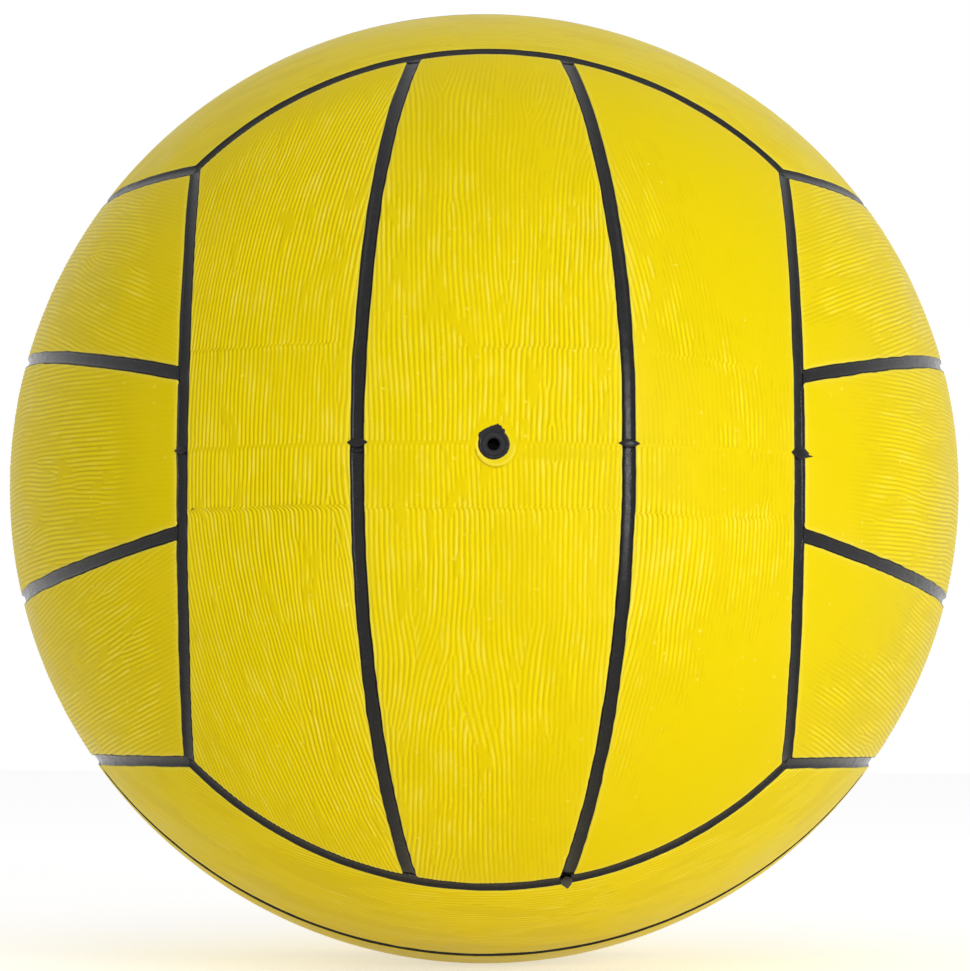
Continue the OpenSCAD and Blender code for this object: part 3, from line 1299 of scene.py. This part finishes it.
class NodeDesk:
    """Adds nodes to one node tree and joins them."""

    def __init__(self, tree: bpy.types.NodeTree) -> None:
        """Clears the tree and keeps it."""
        self.tree = tree
        tree.nodes.clear()

    def plug(self, socket: bpy.types.NodeSocket, value: object) -> None:
        """Sets an input socket to a value, or joins it to the output that feeds it.

        Args:
            socket: The input.
            value: A plain value or an output.
        """
        if isinstance(value, bpy.types.NodeSocket):
            self.tree.links.new(value, socket)
        else:
            socket.default_value = value

    def add(self, kind: str, settings: dict[str, object] | None = None, **inputs: object) -> bpy.types.Node:
        """Adds a node.

        Args:
            kind: The node's type name.
            settings: Values for the node's own properties.
            inputs: For its input sockets, with underscores for spaces, a value or the socket that feeds it.

        Returns:
            The new node.
        """
        node = self.tree.nodes.new(kind)
        for name, value in (settings or {}).items():
            setattr(node, name, value)
        for name, value in inputs.items():
            self.plug(node.inputs[name.replace("_", " ")], value)
        return node

    def maths(self, operation: str, *values: object) -> bpy.types.NodeSocket:
        """A Math node's result for two or three values or sockets.

        Args:
            operation: The node's operation.
            values: What its inputs get.

        Returns:
            The output.
        """
        node = self.add("ShaderNodeMath", {"operation": operation})
        for index, value in enumerate(values):
            self.plug(node.inputs[index], value)
        return node.outputs[0]

    def blend(self, share: object, first: object, second: object) -> bpy.types.NodeSocket:
        """A mix of two colours by a share.

        Args:
            share: 0 for the first colour, to 1 for the second.
            first: The first colour, or its socket.
            second: The second one.

        Returns:
            The mixed colour.
        """
        node = self.add("ShaderNodeMix", {"data_type": "RGBA"})
        for index, value in ((0, share), (6, first), (7, second)):
            self.plug(node.inputs[index], value)
        return node.outputs[2]

    def spread(
        self, value: bpy.types.NodeSocket, low: float, high: float, start: float = 0.0, end: float = 1.0
    ) -> bpy.types.NodeSocket:
        """A value's clamped change from the range low to high to the range start to end.

        Args:
            value: The value's socket.
            low: Where the old range starts.
            high: Where it ends.
            start: Where the new range starts.
            end: Where it ends.

        Returns:
            The changed value.
        """
        node = self.add("ShaderNodeMapRange")
        for index, entry in enumerate((value, low, high, start, end)):
            self.plug(node.inputs[index], entry)
        return node.outputs[0]

    def attribute(self, name: str, output: str = "Fac") -> bpy.types.NodeSocket:
        """A piece's own attribute."""
        return self.add("ShaderNodeAttribute", {"attribute_name": name}).outputs[output]

    def seen(self) -> bpy.types.NodeSocket:
        """1 for what is seen plainly, in a reflection or through a surface, and 0 for all other light.

        Returns:
            The socket that says so.
        """
        path = self.add("ShaderNodeLightPath")
        seen = self.maths("MAXIMUM", path.outputs["Is Camera Ray"], path.outputs["Is Glossy Ray"])
        return self.maths("MAXIMUM", seen, path.outputs["Is Transmission Ray"])

    def coat(self, height: bpy.types.NodeSocket, bump: float, depth: float, **inputs: object) -> None:
        """Finishes a material with a bumped Principled surface.

        Args:
            height: The bump's height.
            bump: Its strength.
            depth: What a height of 1 stands for, in metres.
            inputs: For the Principled node's sockets, with underscores for spaces.
        """
        bumped = self.add("ShaderNodeBump", Strength=bump, Distance=depth, Height=height)
        shader = self.add("ShaderNodeBsdfPrincipled", Normal=bumped.outputs[0], **inputs)
        self.add("ShaderNodeOutputMaterial", Surface=shader.outputs[0])


def new_material(name: str) -> tuple[bpy.types.Material, NodeDesk]:
    """An empty material, and the desk for its nodes.

    Args:
        name: The material's name.

    Returns:
        The two.
    """
    material = bpy.data.materials.new(name)
    material.use_nodes = True
    return material, NodeDesk(material.node_tree)


def linear(red: float, green: float, blue: float) -> tuple[float, float, float, float]:
    """A screen colour of 0 to 255 as a linear one."""
    parts = [c / 255 for c in (red, green, blue)]
    return (*[c / 12.92 if c <= 0.04045 else ((c + 0.055) / 1.055) ** 2.4 for c in parts], 1.0)


@dataclass(frozen=True)
class MouldedGrain:
    """A shared node group: the fine grain that a mould leaves in rubber, slow mottling and specks."""

    name: str = "moulded_grain"
    inputs: tuple[str, ...] = ("Grain Scale", "Mottle Scale", "Speck Scale")
    outputs: tuple[str, ...] = ("Height", "Mottle", "Specks")
    bend_scale: float = 2600.0
    bend: float = 0.0011

    def group(self) -> bpy.types.NodeTree:
        """The group, made once.

        Returns:
            The node group.
        """
        made = bpy.data.node_groups.get(self.name)
        if made:
            return made
        tree = bpy.data.node_groups.new(self.name, "ShaderNodeTree")
        desk = NodeDesk(tree)
        tree.interface.new_socket("Vector", in_out="INPUT", socket_type="NodeSocketVector")
        for name in self.inputs:
            tree.interface.new_socket(name, in_out="INPUT", socket_type="NodeSocketFloat")
        for name in self.outputs:
            tree.interface.new_socket(name, in_out="OUTPUT", socket_type="NodeSocketFloat")
        vector, grain_scale, mottle_scale, speck_scale = list(desk.add("NodeGroupInput").outputs)[:4]
        fine = desk.add("ShaderNodeTexNoise", Vector=vector, Scale=grain_scale, Detail=3.0, Roughness=0.6)
        slow = desk.add("ShaderNodeTexNoise", Vector=vector, Scale=mottle_scale, Detail=4.0, Roughness=0.55)
        bent = desk.add("ShaderNodeTexNoise", Vector=vector, Scale=self.bend_scale, Detail=2.0)
        offset = desk.add("ShaderNodeVectorMath", {"operation": "SCALE"}, Vector=bent.outputs[1])
        desk.plug(offset.inputs["Scale"], self.bend)
        moved = desk.add("ShaderNodeVectorMath", {"operation": "ADD"})
        desk.plug(moved.inputs[0], vector)
        desk.plug(moved.inputs[1], offset.outputs[0])
        dots = desk.add("ShaderNodeTexVoronoi", Vector=moved.outputs[0], Scale=speck_scale)
        near = desk.spread(dots.outputs["Distance"], 0.06, 0.2, 1.0, 0.0)
        parts = desk.add("ShaderNodeSeparateColor", Color=dots.outputs["Color"])
        specks = desk.maths("MULTIPLY", near, desk.spread(parts.outputs[0], 0.78, 0.95))
        leave = desk.add("NodeGroupOutput")
        for index, value in enumerate((fine.outputs[0], slow.outputs[0], specks)):
            desk.plug(leave.inputs[index], value)
        return tree

    def place(self, desk: NodeDesk, *scales: float) -> bpy.types.Node:
        """The group in a material, with its three scales in cells per metre of the piece's coordinates.

        Args:
            desk: The desk of the material's nodes.
            scales: Those of the grain, the mottling and the specks.

        Returns:
            The group's node.
        """
        where = desk.add("ShaderNodeTexCoord").outputs["Object"]
        node = desk.add("ShaderNodeGroup", {"node_tree": self.group()}, Vector=where)
        for name, scale in zip(self.inputs, scales):
            desk.plug(node.inputs[name], scale)
        return node


@dataclass(frozen=True)
class YellowRubber:
    """The cover's yellow rubber: painted shade in the grooves, painted highlights on the crests and along the
    edges, a tan tint near the edges, black cement on its walls, and painted shade in the valve's ring groove.
    """

    name: str = "yellow_cover_rubber"
    # plain is the rubber's colour; groove is painted shade in the grooves; crest and pale are painted
    # highlights on the crests and edges, and pale also colours the specks.
    plain: Colour = linear(236, 212, 0)
    crest: Colour = linear(252, 229, 4)
    groove: Colour = linear(210, 182, 0)
    warm: Colour = linear(242, 212, 0)
    pale: Colour = linear(255, 240, 96)
    tan: Colour = linear(236, 212, 88)
    cement: Colour = linear(30, 27, 25)
    scales: tuple[float, float, float] = (2600.0, 60.0, 420.0)
    streak_scale: tuple[float, float, float] = (0.9, 0.11, 1.0)
    warm_share: float = 0.5
    crest_share: float = 0.8
    streak_share: float = 0.5
    margin_share: float = 0.12
    rim_share: float = 0.75
    speck_share: float = 0.6
    roughness: float = 0.42
    specular: float = 0.05
    sheen: float = 0.1
    bump: float = 0.35

    def build(self) -> bpy.types.Material:
        """Makes the material, which reads the attributes that a panel gives its skin.

        Returns:
            The material.
        """
        material, desk = new_material(self.name)
        grain = MouldedGrain().place(desk, *self.scales)
        mottle = grain.outputs["Mottle"]
        # Painted shade: the grooves are darker than the crests.
        colour = desk.blend(desk.attribute("relief"), self.groove, self.plain)
        warmth = desk.maths("MULTIPLY", desk.spread(mottle, 0.35, 0.7), self.warm_share)
        colour = desk.blend(warmth, colour, self.warm)
        along_ribs = desk.attribute("grain", "Vector")
        rows = desk.add("ShaderNodeMapping", Vector=along_ribs, Scale=self.streak_scale)
        streaks = desk.add("ShaderNodeTexNoise", Vector=rows.outputs[0], Scale=1.0, Detail=3.0)
        streaks = desk.spread(desk.spread(streaks.outputs[0], 0.5, 0.7), 0.0, 1.0, 0.0, self.streak_share)
        # Painted highlight: the crests pale towards crest, and in streaks towards pale.
        worn = desk.attribute("worn")
        colour = desk.blend(desk.maths("MULTIPLY", worn, self.crest_share), colour, self.crest)
        colour = desk.blend(desk.maths("MULTIPLY", streaks, worn), colour, self.pale)
        margin = desk.maths("MULTIPLY", desk.attribute("margin"), desk.spread(mottle, 0.3, 0.8))
        colour = desk.blend(desk.maths("MULTIPLY", margin, self.margin_share), colour, self.tan)
        # Painted highlight along the edges and on the valve's lip and bore edge.
        rim = desk.maths("MULTIPLY", desk.attribute("rim"), self.rim_share)
        colour = desk.blend(rim, colour, self.pale)
        specks = desk.maths("MULTIPLY", grain.outputs["Specks"], self.speck_share)
        colour = desk.blend(specks, colour, self.pale)
        # Black cement on the walls, and painted shade in the valve's ring groove.
        colour = desk.blend(desk.spread(desk.attribute("cement"), 0.25, 0.7), colour, self.cement)
        desk.coat(
            grain.outputs["Height"],
            self.bump,
            0.00006,
            Base_Color=colour,
            Roughness=desk.spread(mottle, 0.3, 0.7, self.roughness - 0.06, self.roughness + 0.08),
            Specular_IOR_Level=self.specular,
            Sheen_Weight=self.sheen,
            Sheen_Roughness=0.28,
        )
        return material


@dataclass(frozen=True)
class DarkRubber:
    """Black rubber with a dusty, mottled face. Other dark inner rubbers are made from it too."""

    name: str
    base: Colour = linear(11, 9, 12)
    dusty: Colour = linear(58, 57, 62)
    dust: float = 0.13
    roughness: float = 0.17
    specular: float = 0.28
    grain_scale: float = 2600.0
    mottle_scale: float = 620.0
    speck_scale: float = 900.0
    bump: float = 0.75

    def build(self) -> bpy.types.Material:
        """Makes the material.

        Returns:
            The material.
        """
        material, desk = new_material(self.name)
        grain = MouldedGrain().place(desk, self.grain_scale, self.mottle_scale, self.speck_scale)
        mottle = grain.outputs["Mottle"]
        clouds = desk.maths("MULTIPLY", desk.spread(mottle, 0.46, 0.68), self.dust)
        colour = desk.blend(clouds, self.base, self.dusty)
        colour = desk.blend(desk.maths("MULTIPLY", grain.outputs["Specks"], self.dust), colour, self.dusty)
        desk.coat(
            grain.outputs["Height"],
            self.bump,
            0.00008,
            Base_Color=colour,
            Roughness=desk.spread(mottle, 0.3, 0.7, self.roughness - 0.08, self.roughness + 0.14),
            Specular_IOR_Level=self.specular,
        )
        return material


@dataclass(frozen=True)
class NylonThread:
    """Off-white nylon thread wound over itself in several directions and wetted with rubber cement."""

    name: str = "nylon_thread"
    thread: Colour = linear(222, 216, 198)
    gap: Colour = linear(104, 96, 82)
    threads_per_metre: float = 900.0
    wobble: float = 2.5
    roughness: float = 0.45
    turns: tuple[tuple[float, float, float], ...] = ((0.3, 0.2, 0.0), (1.2, 0.9, 0.4), (2.3, 0.1, 1.1))

    def build(self) -> bpy.types.Material:
        """Makes the material.

        Returns:
            The material.
        """
        material, desk = new_material(self.name)
        where = desk.add("ShaderNodeTexCoord").outputs["Object"]
        layers = []
        for turn in self.turns:
            turned = desk.add("ShaderNodeMapping", Vector=where, Rotation=turn).outputs[0]
            wave_scale = self.threads_per_metre / 6.2832
            wave = desk.add("ShaderNodeTexWave", Vector=turned, Scale=wave_scale, Distortion=self.wobble)
            layers.append(wave.outputs["Fac"])
        height = desk.maths("MAXIMUM", desk.maths("MAXIMUM", layers[0], layers[1]), layers[2])
        colour = desk.blend(desk.spread(height, 0.35, 0.95), self.gap, self.thread)
        desk.coat(height, 0.8, 0.0002, Base_Color=colour, Roughness=self.roughness)
        return material


@dataclass
class Cover:
    """The eighteen panels and the twenty-four strips between them."""

    sizes: BallSizes
    yellow: bpy.types.Material
    black: bpy.types.Material

    def front_style(self, side: int) -> RibStyle:
        """How the ribs of the front face's panels look, and of the back face's, which repeats it.

        Args:
            side: 1 for the +v panel, 0 for the centre one and -1 for the -v one.

        Returns:
            The style.
        """
        parting = StepLine(0.27, jump=0.45, ledge=0.0, bead=0.02, tips=0.25, width=0.34, waver=0.08)
        ends = {"end_calm": 0.6, "end_reach": 13, "low_end": 0.2}
        if side < 0:
            lines = (
                StepLine(20.8, angle_to=-17.5, jump=0.5, hook=0.4, ledge=0.05),
                parting,
                StepLine(-12.0, angle_to=-15.5, jump=-0.5, hook=1.2, ledge=0.09, lean=0.045),
            )
            return RibStyle(0.93, 0.19, fade=0.2, **ends, lines=lines)
        if side > 0:
            lines = (
                StepLine(19.6, slope=-0.17, angle_from=15.0, jump=0.4, hook=0.3, ledge=0.06),
                parting,
                StepLine(-13.4, jump=-0.5, hook=0.4, ledge=0.05),
            )
            patches = (
                SmoothPatch(25, -6.5, 9, 6.0, 0.75, 0.4),
                SmoothPatch(18.5, 10, 6.5, 11, 0.62, 0.4),
                SmoothPatch(38, 46, 17, 46, 0.9, 0.35),
                SmoothPatch(30, 86, 24, 30, 0.85, 0.4),
                SmoothPatch(38, -64, 17, 40, 0.92, 0.3),
                SmoothPatch(22, -88, 14, 30, 0.88, 0.4),
            )
            return RibStyle(depth=0.115, wander=0.5, fade=0.5, lines=lines, patches=patches)
        lines = (
            StepLine(19.7, angle_from=-4.0, jump=0.4, ledge=0.05),
            parting,
            StepLine(-12.7, jump=-0.4, hook=0.3, ledge=0.05),
        )
        patches = (
            SmoothPatch(8, -1.6, 6, 1.6, 0.55, 0.4),
            SmoothPatch(0, 84, 30, 34, 0.45, 0.5),
            SmoothPatch(11, -76, 9, 26, 0.55, 0.5),
        )
        return RibStyle(depth=0.155, fade=0.3, **ends, lines=lines, patches=patches)

    def style(self, face: Face, side: int) -> RibStyle:
        """How the ribs of one panel look.

        Args:
            face: The panel's face.
            side: Its side, -1, 0 or 1.

        Returns:
            The style.
        """
        if face in (Face.FRONT, Face.BACK):
            return self.front_style(side)
        if face in (Face.TOP, Face.BOTTOM):
            return RibStyle(depth=0.03, wander=0.7, fade=0.6, chains=8)
        faint = {"depth": 0.13, "wander": 0.35, "fade": 0.4, "chains": 9}
        if face is Face.LEFT:
            if side == 0:
                return RibStyle(depth=0.15, wander=0.35, fade=0.3, chains=12, end_calm=0.88, end_reach=26)
            return RibStyle(**faint, end_calm=0.6, end_reach=14)
        if side == 0:
            return RibStyle(**faint, end_calm=0.95, end_reach=30)
        patches = (
            SmoothPatch(18, 84, 6, 16, 0.9, 0.4),
            SmoothPatch(-19, 76, 12, 24, 0.92, 0.4),
            SmoothPatch(-34, 84, 12, 12, 0.8, 0.5),
        )
        return RibStyle(**faint, end_calm=0.5, end_reach=9, patches=patches)

    def collars(self, face: Face, side: int, inner: bool) -> tuple[Collar, ...]:
        """The flashes on one strip where the parting line crosses it.

        Args:
            face: The strip's face.
            side: 1 for its +v side, and -1 for its -v side.
            inner: Whether the strip lies inside the face.

        Returns:
            The flashes, none for most strips.
        """
        if face is Face.BOTTOM and side < 0 and not inner:
            return (Collar(16.7, 0.1, 2.5, half_height=1.25, rise=0.16, lift=-0.06),)
        if face not in (Face.FRONT, Face.BACK):
            return ()
        if inner and side < 0:
            small = Collar(-1.15, 0.1, 0.1, half_height=0.4, lift=-0.1)
            return (Collar(0.5, 0.6, 0.85, half_height=1.0), small)
        if inner:
            return (Collar(0.55, 0.95, 0.8, half_height=0.85),)
        if side < 0:
            return (Collar(0.3, 0.7, 0.1, half_height=0.8, lift=0.0),)
        tail = Collar(-0.2, 0.2, 2.1, half_height=0.55, lift=0.02)
        return (Collar(0.35, 1.05, 1.0, half_height=1.35), tail)

    def panel(self, face: Face, side: int) -> Panel:
        """One panel, with coarser columns where it is away from the front.

        Args:
            face: The panel's face.
            side: Its side, -1, 0 or 1.

        Returns:
            The panel, still to be built.
        """
        panel = Panel(self.sizes, face, side, self.style(face, side))
        if face is Face.FRONT and side == 0:
            panel.pierced = True
            panel.fine_gap = 0.22
        if face in (Face.TOP, Face.BOTTOM):
            panel.columns_per_rib = 3
        if face is Face.BACK:
            panel.columns_per_rib = 5
        return panel

    def build(self) -> None:
        """Makes the cover."""
        for face in Face:
            for side in (-1, 0, 1):
                self.panel(face, side).build(self.yellow)
            for side in (-1, 1):
                InnerStrip(self.sizes, face, side, self.collars(face, side, True)).build(self.black)
        for face in Face:
            for side in (1, -1):
                EdgeStrip(self.sizes, face, side, self.collars(face, side, False)).build(self.black)


@dataclass
class Valve:
    """What shows of the valve: the torn black flash that the mould left round the core's head.

    The outline goes round the bore: angles in degrees from +X towards +Z, and millimetres from the middle.
    """

    sizes: BallSizes
    bore_r: float = 2.36
    bore_depth: float = 1.1
    chamfer: float = 0.16
    rim_fall: float = 0.12
    thickness: float = 0.34
    top_radius: float = 109.94
    segments: int = 96
    uneven: float = 0.05
    outline: tuple[tuple[float, float], ...] = (
        (-2, 3.2),
        (7, 3.16),
        (22, 2.82),
        (41, 2.9),
        (47, 3.2),
        (51, 3.73),
        (60, 3.62),
        (66, 4.0),
        (74, 4.1),
        (78, 4.39),
        (83, 4.08),
        (92, 3.8),
        (104, 3.65),
        (120, 3.5),
        (135, 3.56),
        (144, 3.72),
        (152, 3.57),
        (157, 3.2),
        (163, 3.04),
        (175, 2.76),
        (188, 2.69),
        (196, 2.92),
        (207, 2.83),
        (241, 2.89),
        (273, 2.86),
        (303, 3.02),
        (329, 3.24),
    )

    def edge(self, turn: np.ndarray) -> np.ndarray:
        """The flash's outline with its fine teeth: millimetres from the middle by angles in degrees.

        Args:
            turn: Angles in degrees from +X towards +Z.

        Returns:
            Millimetres from the bore's middle.
        """
        angles, reaches = np.array(self.outline).T
        smooth = np.interp(turn, angles, reaches, period=360)
        return smooth + 0.05 * noise(turn / 9, 0 * turn, 41) + 0.04 * noise(turn / 4, 0 * turn, 42)

    def rings(self) -> tuple[tuple[float, float, float], ...]:
        """The flash's rings, from down in the bore over the top to its underside.

        Returns:
            For each ring its share of the way from its start to the outline, its start in millimetres from
            the middle, and its depth under the top.
        """
        return (
            (0.0, self.bore_r, self.bore_depth),
            (0.0, self.bore_r, self.rim_fall + self.chamfer),
            (0.0, self.bore_r + self.chamfer, self.rim_fall),
            (0.35, self.bore_r, self.rim_fall / 2),
            (0.7, self.bore_r, 0.0),
            (0.93, self.bore_r, 0.02),
            (1.0, self.bore_r, self.rim_fall),
            (0.98, self.bore_r, self.thickness),
        )

    def flash(self, material: bpy.types.Material) -> bpy.types.Object:
        """Makes the flash as rings drawn out from the bore and joined underneath, and dresses it.

        Args:
            material: The valve's black rubber.

        Returns:
            The finished piece.
        """
        sheet = bmesh.new()
        bmesh.ops.create_circle(sheet, segments=self.segments, radius=1.0)
        first, verts = list(sheet.edges), list(sheet.verts)
        edges = first
        for index, (share, start, depth) in enumerate(self.rings()):
            if index:
                grown = bmesh.ops.extrude_edge_only(sheet, edges=edges)["geom"]
                verts = [v for v in grown if isinstance(v, bmesh.types.BMVert)]
                joined = [e for e in grown if isinstance(e, bmesh.types.BMEdge)]
                edges = [e for e in joined if all(v in verts for v in e.verts)]
            for vertex in verts:
                turn = math.atan2(vertex.co.z if index else vertex.co.y, vertex.co.x)
                outer = float(self.edge(np.array([math.degrees(turn) % 360]))[0])
                reach = start + share * (outer - start)
                x, z = reach * math.cos(turn), reach * math.sin(turn)
                fall = depth + self.uneven * float(noise(x / 0.5, z / 0.5, 43)) * (0.1 < share < 0.99)
                vertex.co = (x, -math.sqrt((self.top_radius - fall) ** 2 - reach**2), z)
        bmesh.ops.bridge_loops(sheet, edges=[*first, *edges])
        mesh = bpy.data.meshes.new("valve_flash")
        write_closed(sheet, mesh)
        return finish_mesh(mesh, material, "ball", "valve_rubber")


@dataclass(frozen=True)
class Lamp:
    """A soft lamp that looks at the ball: its place and its width and height in metres, and its watts."""

    name: str
    place: tuple[float, float, float]
    size: tuple[float, float]
    power: float

    def build(self) -> None:
        """Hangs the lamp, out of the camera's sight."""
        data = bpy.data.lights.new(self.name, "AREA")
        data.shape = "RECTANGLE"
        data.size, data.size_y = self.size
        data.energy = self.power
        lamp = bpy.data.objects.new(self.name, data)
        lamp.location = self.place
        lamp.rotation_euler = (-Vector(self.place)).to_track_quat("-Z", "Y").to_euler()
        lamp.visible_camera = False
        bpy.context.scene.collection.objects.link(lamp)


@dataclass
class Studio:
    """The camera, the lamps, the floor and the pale surroundings."""

    distance: float = 0.717
    lens: float = 113.5
    yaw: float = math.radians(0.1745)
    pitch: float = math.radians(-4.658)
    roll: float = math.radians(0.963)
    frame_width: float = 970.0
    shift_px: tuple[float, float] = (0.8, 3.2)
    floor_size: float = 8.0
    floor_grey: float = 0.93
    fill: float = 0.5
    floor_glow: float = 0.15
    floor_white: float = 0.5
    lamps: tuple[Lamp, ...] = (
        Lamp("key_lamp", (0.55, -0.85, 0.11), (0.12, 0.42), 2.9),
        Lamp("low_lamp", (0.17, -0.35, -0.08), (0.035, 0.045), 0.08),
        Lamp("top_lamp", (0.1, -1.1, 1.25), (0.9, 0.9), 2.3),
    )

    def camera(self) -> None:
        """Sets the camera where the photograph was taken from."""
        turns = ((self.yaw, "Y"), (self.pitch, "X"), (self.roll, "Z"))
        yaw, pitch, roll = (Matrix.Rotation(angle, 3, axis) for angle, axis in turns)
        right, ahead, up = yaw @ pitch @ roll
        data = bpy.data.cameras.new("camera")
        data.lens = self.lens
        data.sensor_width = 36.0
        data.sensor_fit = "HORIZONTAL"
        data.shift_x, data.shift_y = (pixels / self.frame_width for pixels in self.shift_px)
        data.clip_start = 0.01
        camera = bpy.data.objects.new("camera", data)
        rows = [(right[i], up[i], -ahead[i], -ahead[i] * self.distance) for i in range(3)]
        camera.matrix_world = Matrix((*rows, (0, 0, 0, 1)))
        bpy.context.scene.collection.objects.link(camera)
        bpy.context.scene.camera = camera

    def surroundings(self) -> None:
        """White to the camera and in reflections, and a softer fill for everything else."""
        world = bpy.data.worlds.new("surroundings")
        bpy.context.scene.world = world
        world.use_nodes = True
        desk = NodeDesk(world.node_tree)
        strength = desk.spread(desk.seen(), 0.0, 1.0, self.fill, 1.0)
        light = desk.add("ShaderNodeBackground", Color=(1, 1, 1, 1), Strength=strength)
        desk.add("ShaderNodeOutputWorld", Surface=light.outputs[0])

    def floor(self, height: float) -> None:
        """Lays a pale floor under the ball, at a height in metres.

        Args:
            height: Where its top lies, in metres.
        """
        sheet = bmesh.new()
        bmesh.ops.create_grid(sheet, x_segments=1, y_segments=1, size=self.floor_size / 2)
        bmesh.ops.translate(sheet, verts=sheet.verts, vec=(0, 0, height))
        mesh = bpy.data.meshes.new("floor")
        write_sheet(sheet, mesh)
        material, desk = new_material("pale_floor")
        matt = desk.add("ShaderNodeBsdfDiffuse", Color=(*[self.floor_grey] * 3, 1))
        strength = desk.spread(desk.seen(), 0.0, 1.0, self.floor_glow, self.floor_white)
        glow = desk.add("ShaderNodeEmission", Color=(1, 1, 1, 1), Strength=strength)
        both = desk.add("ShaderNodeAddShader")
        desk.plug(both.inputs[0], matt.outputs[0])
        desk.plug(both.inputs[1], glow.outputs[0])
        desk.add("ShaderNodeOutputMaterial", Surface=both.outputs[0])
        mesh.materials.append(material)
        floor = bpy.data.objects.new("floor", mesh)
        bpy.context.scene.collection.objects.link(floor)

    def build(self, floor_height: float) -> None:
        """Makes the studio.

        Args:
            floor_height: Where the floor's top lies, in metres.
        """
        bpy.context.scene.view_settings.view_transform = "Standard"
        self.camera()
        for lamp in self.lamps:
            lamp.build()
        self.surroundings()
        self.floor(floor_height)


def dress(name: str, material: bpy.types.Material) -> None:
    """Gives a CAD node that stays its finish.

    Args:
        name: The node's name.
        material: Its finish.
    """
    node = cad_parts[name]
    if not node.material_slots:
        node.data.materials.append(material)
    for slot in node.material_slots:
        slot.material = material
    LOG.info("%s: dressed", name)


def main() -> None:
    """Builds the ball's looks and the studio."""
    logging.basicConfig(level=logging.INFO, format="%(message)s")
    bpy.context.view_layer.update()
    sizes = BallSizes()
    yellow = YellowRubber().build()
    black = DarkRubber("black_strip_rubber").build()
    Cover(sizes, yellow, black).build()
    flash = DarkRubber("valve_rubber", linear(24, 22, 25), linear(70, 68, 70), mottle_scale=900.0).build()
    Valve(sizes).flash(flash)
    dress("valve_housing", flash)
    dress("valve_core", DarkRubber("core_rubber", linear(30, 28, 31), roughness=0.34).build())
    dress("bladder", DarkRubber("butyl_rubber", linear(28, 28, 30), roughness=0.5).build())
    dress("carcass", DarkRubber("carcass_rubber", linear(52, 46, 40), roughness=0.6).build())
    dress("nylon_winding", NylonThread().build())
    Studio().build(-sizes.radius * MM)


if __name__ == "__main__":
    main()
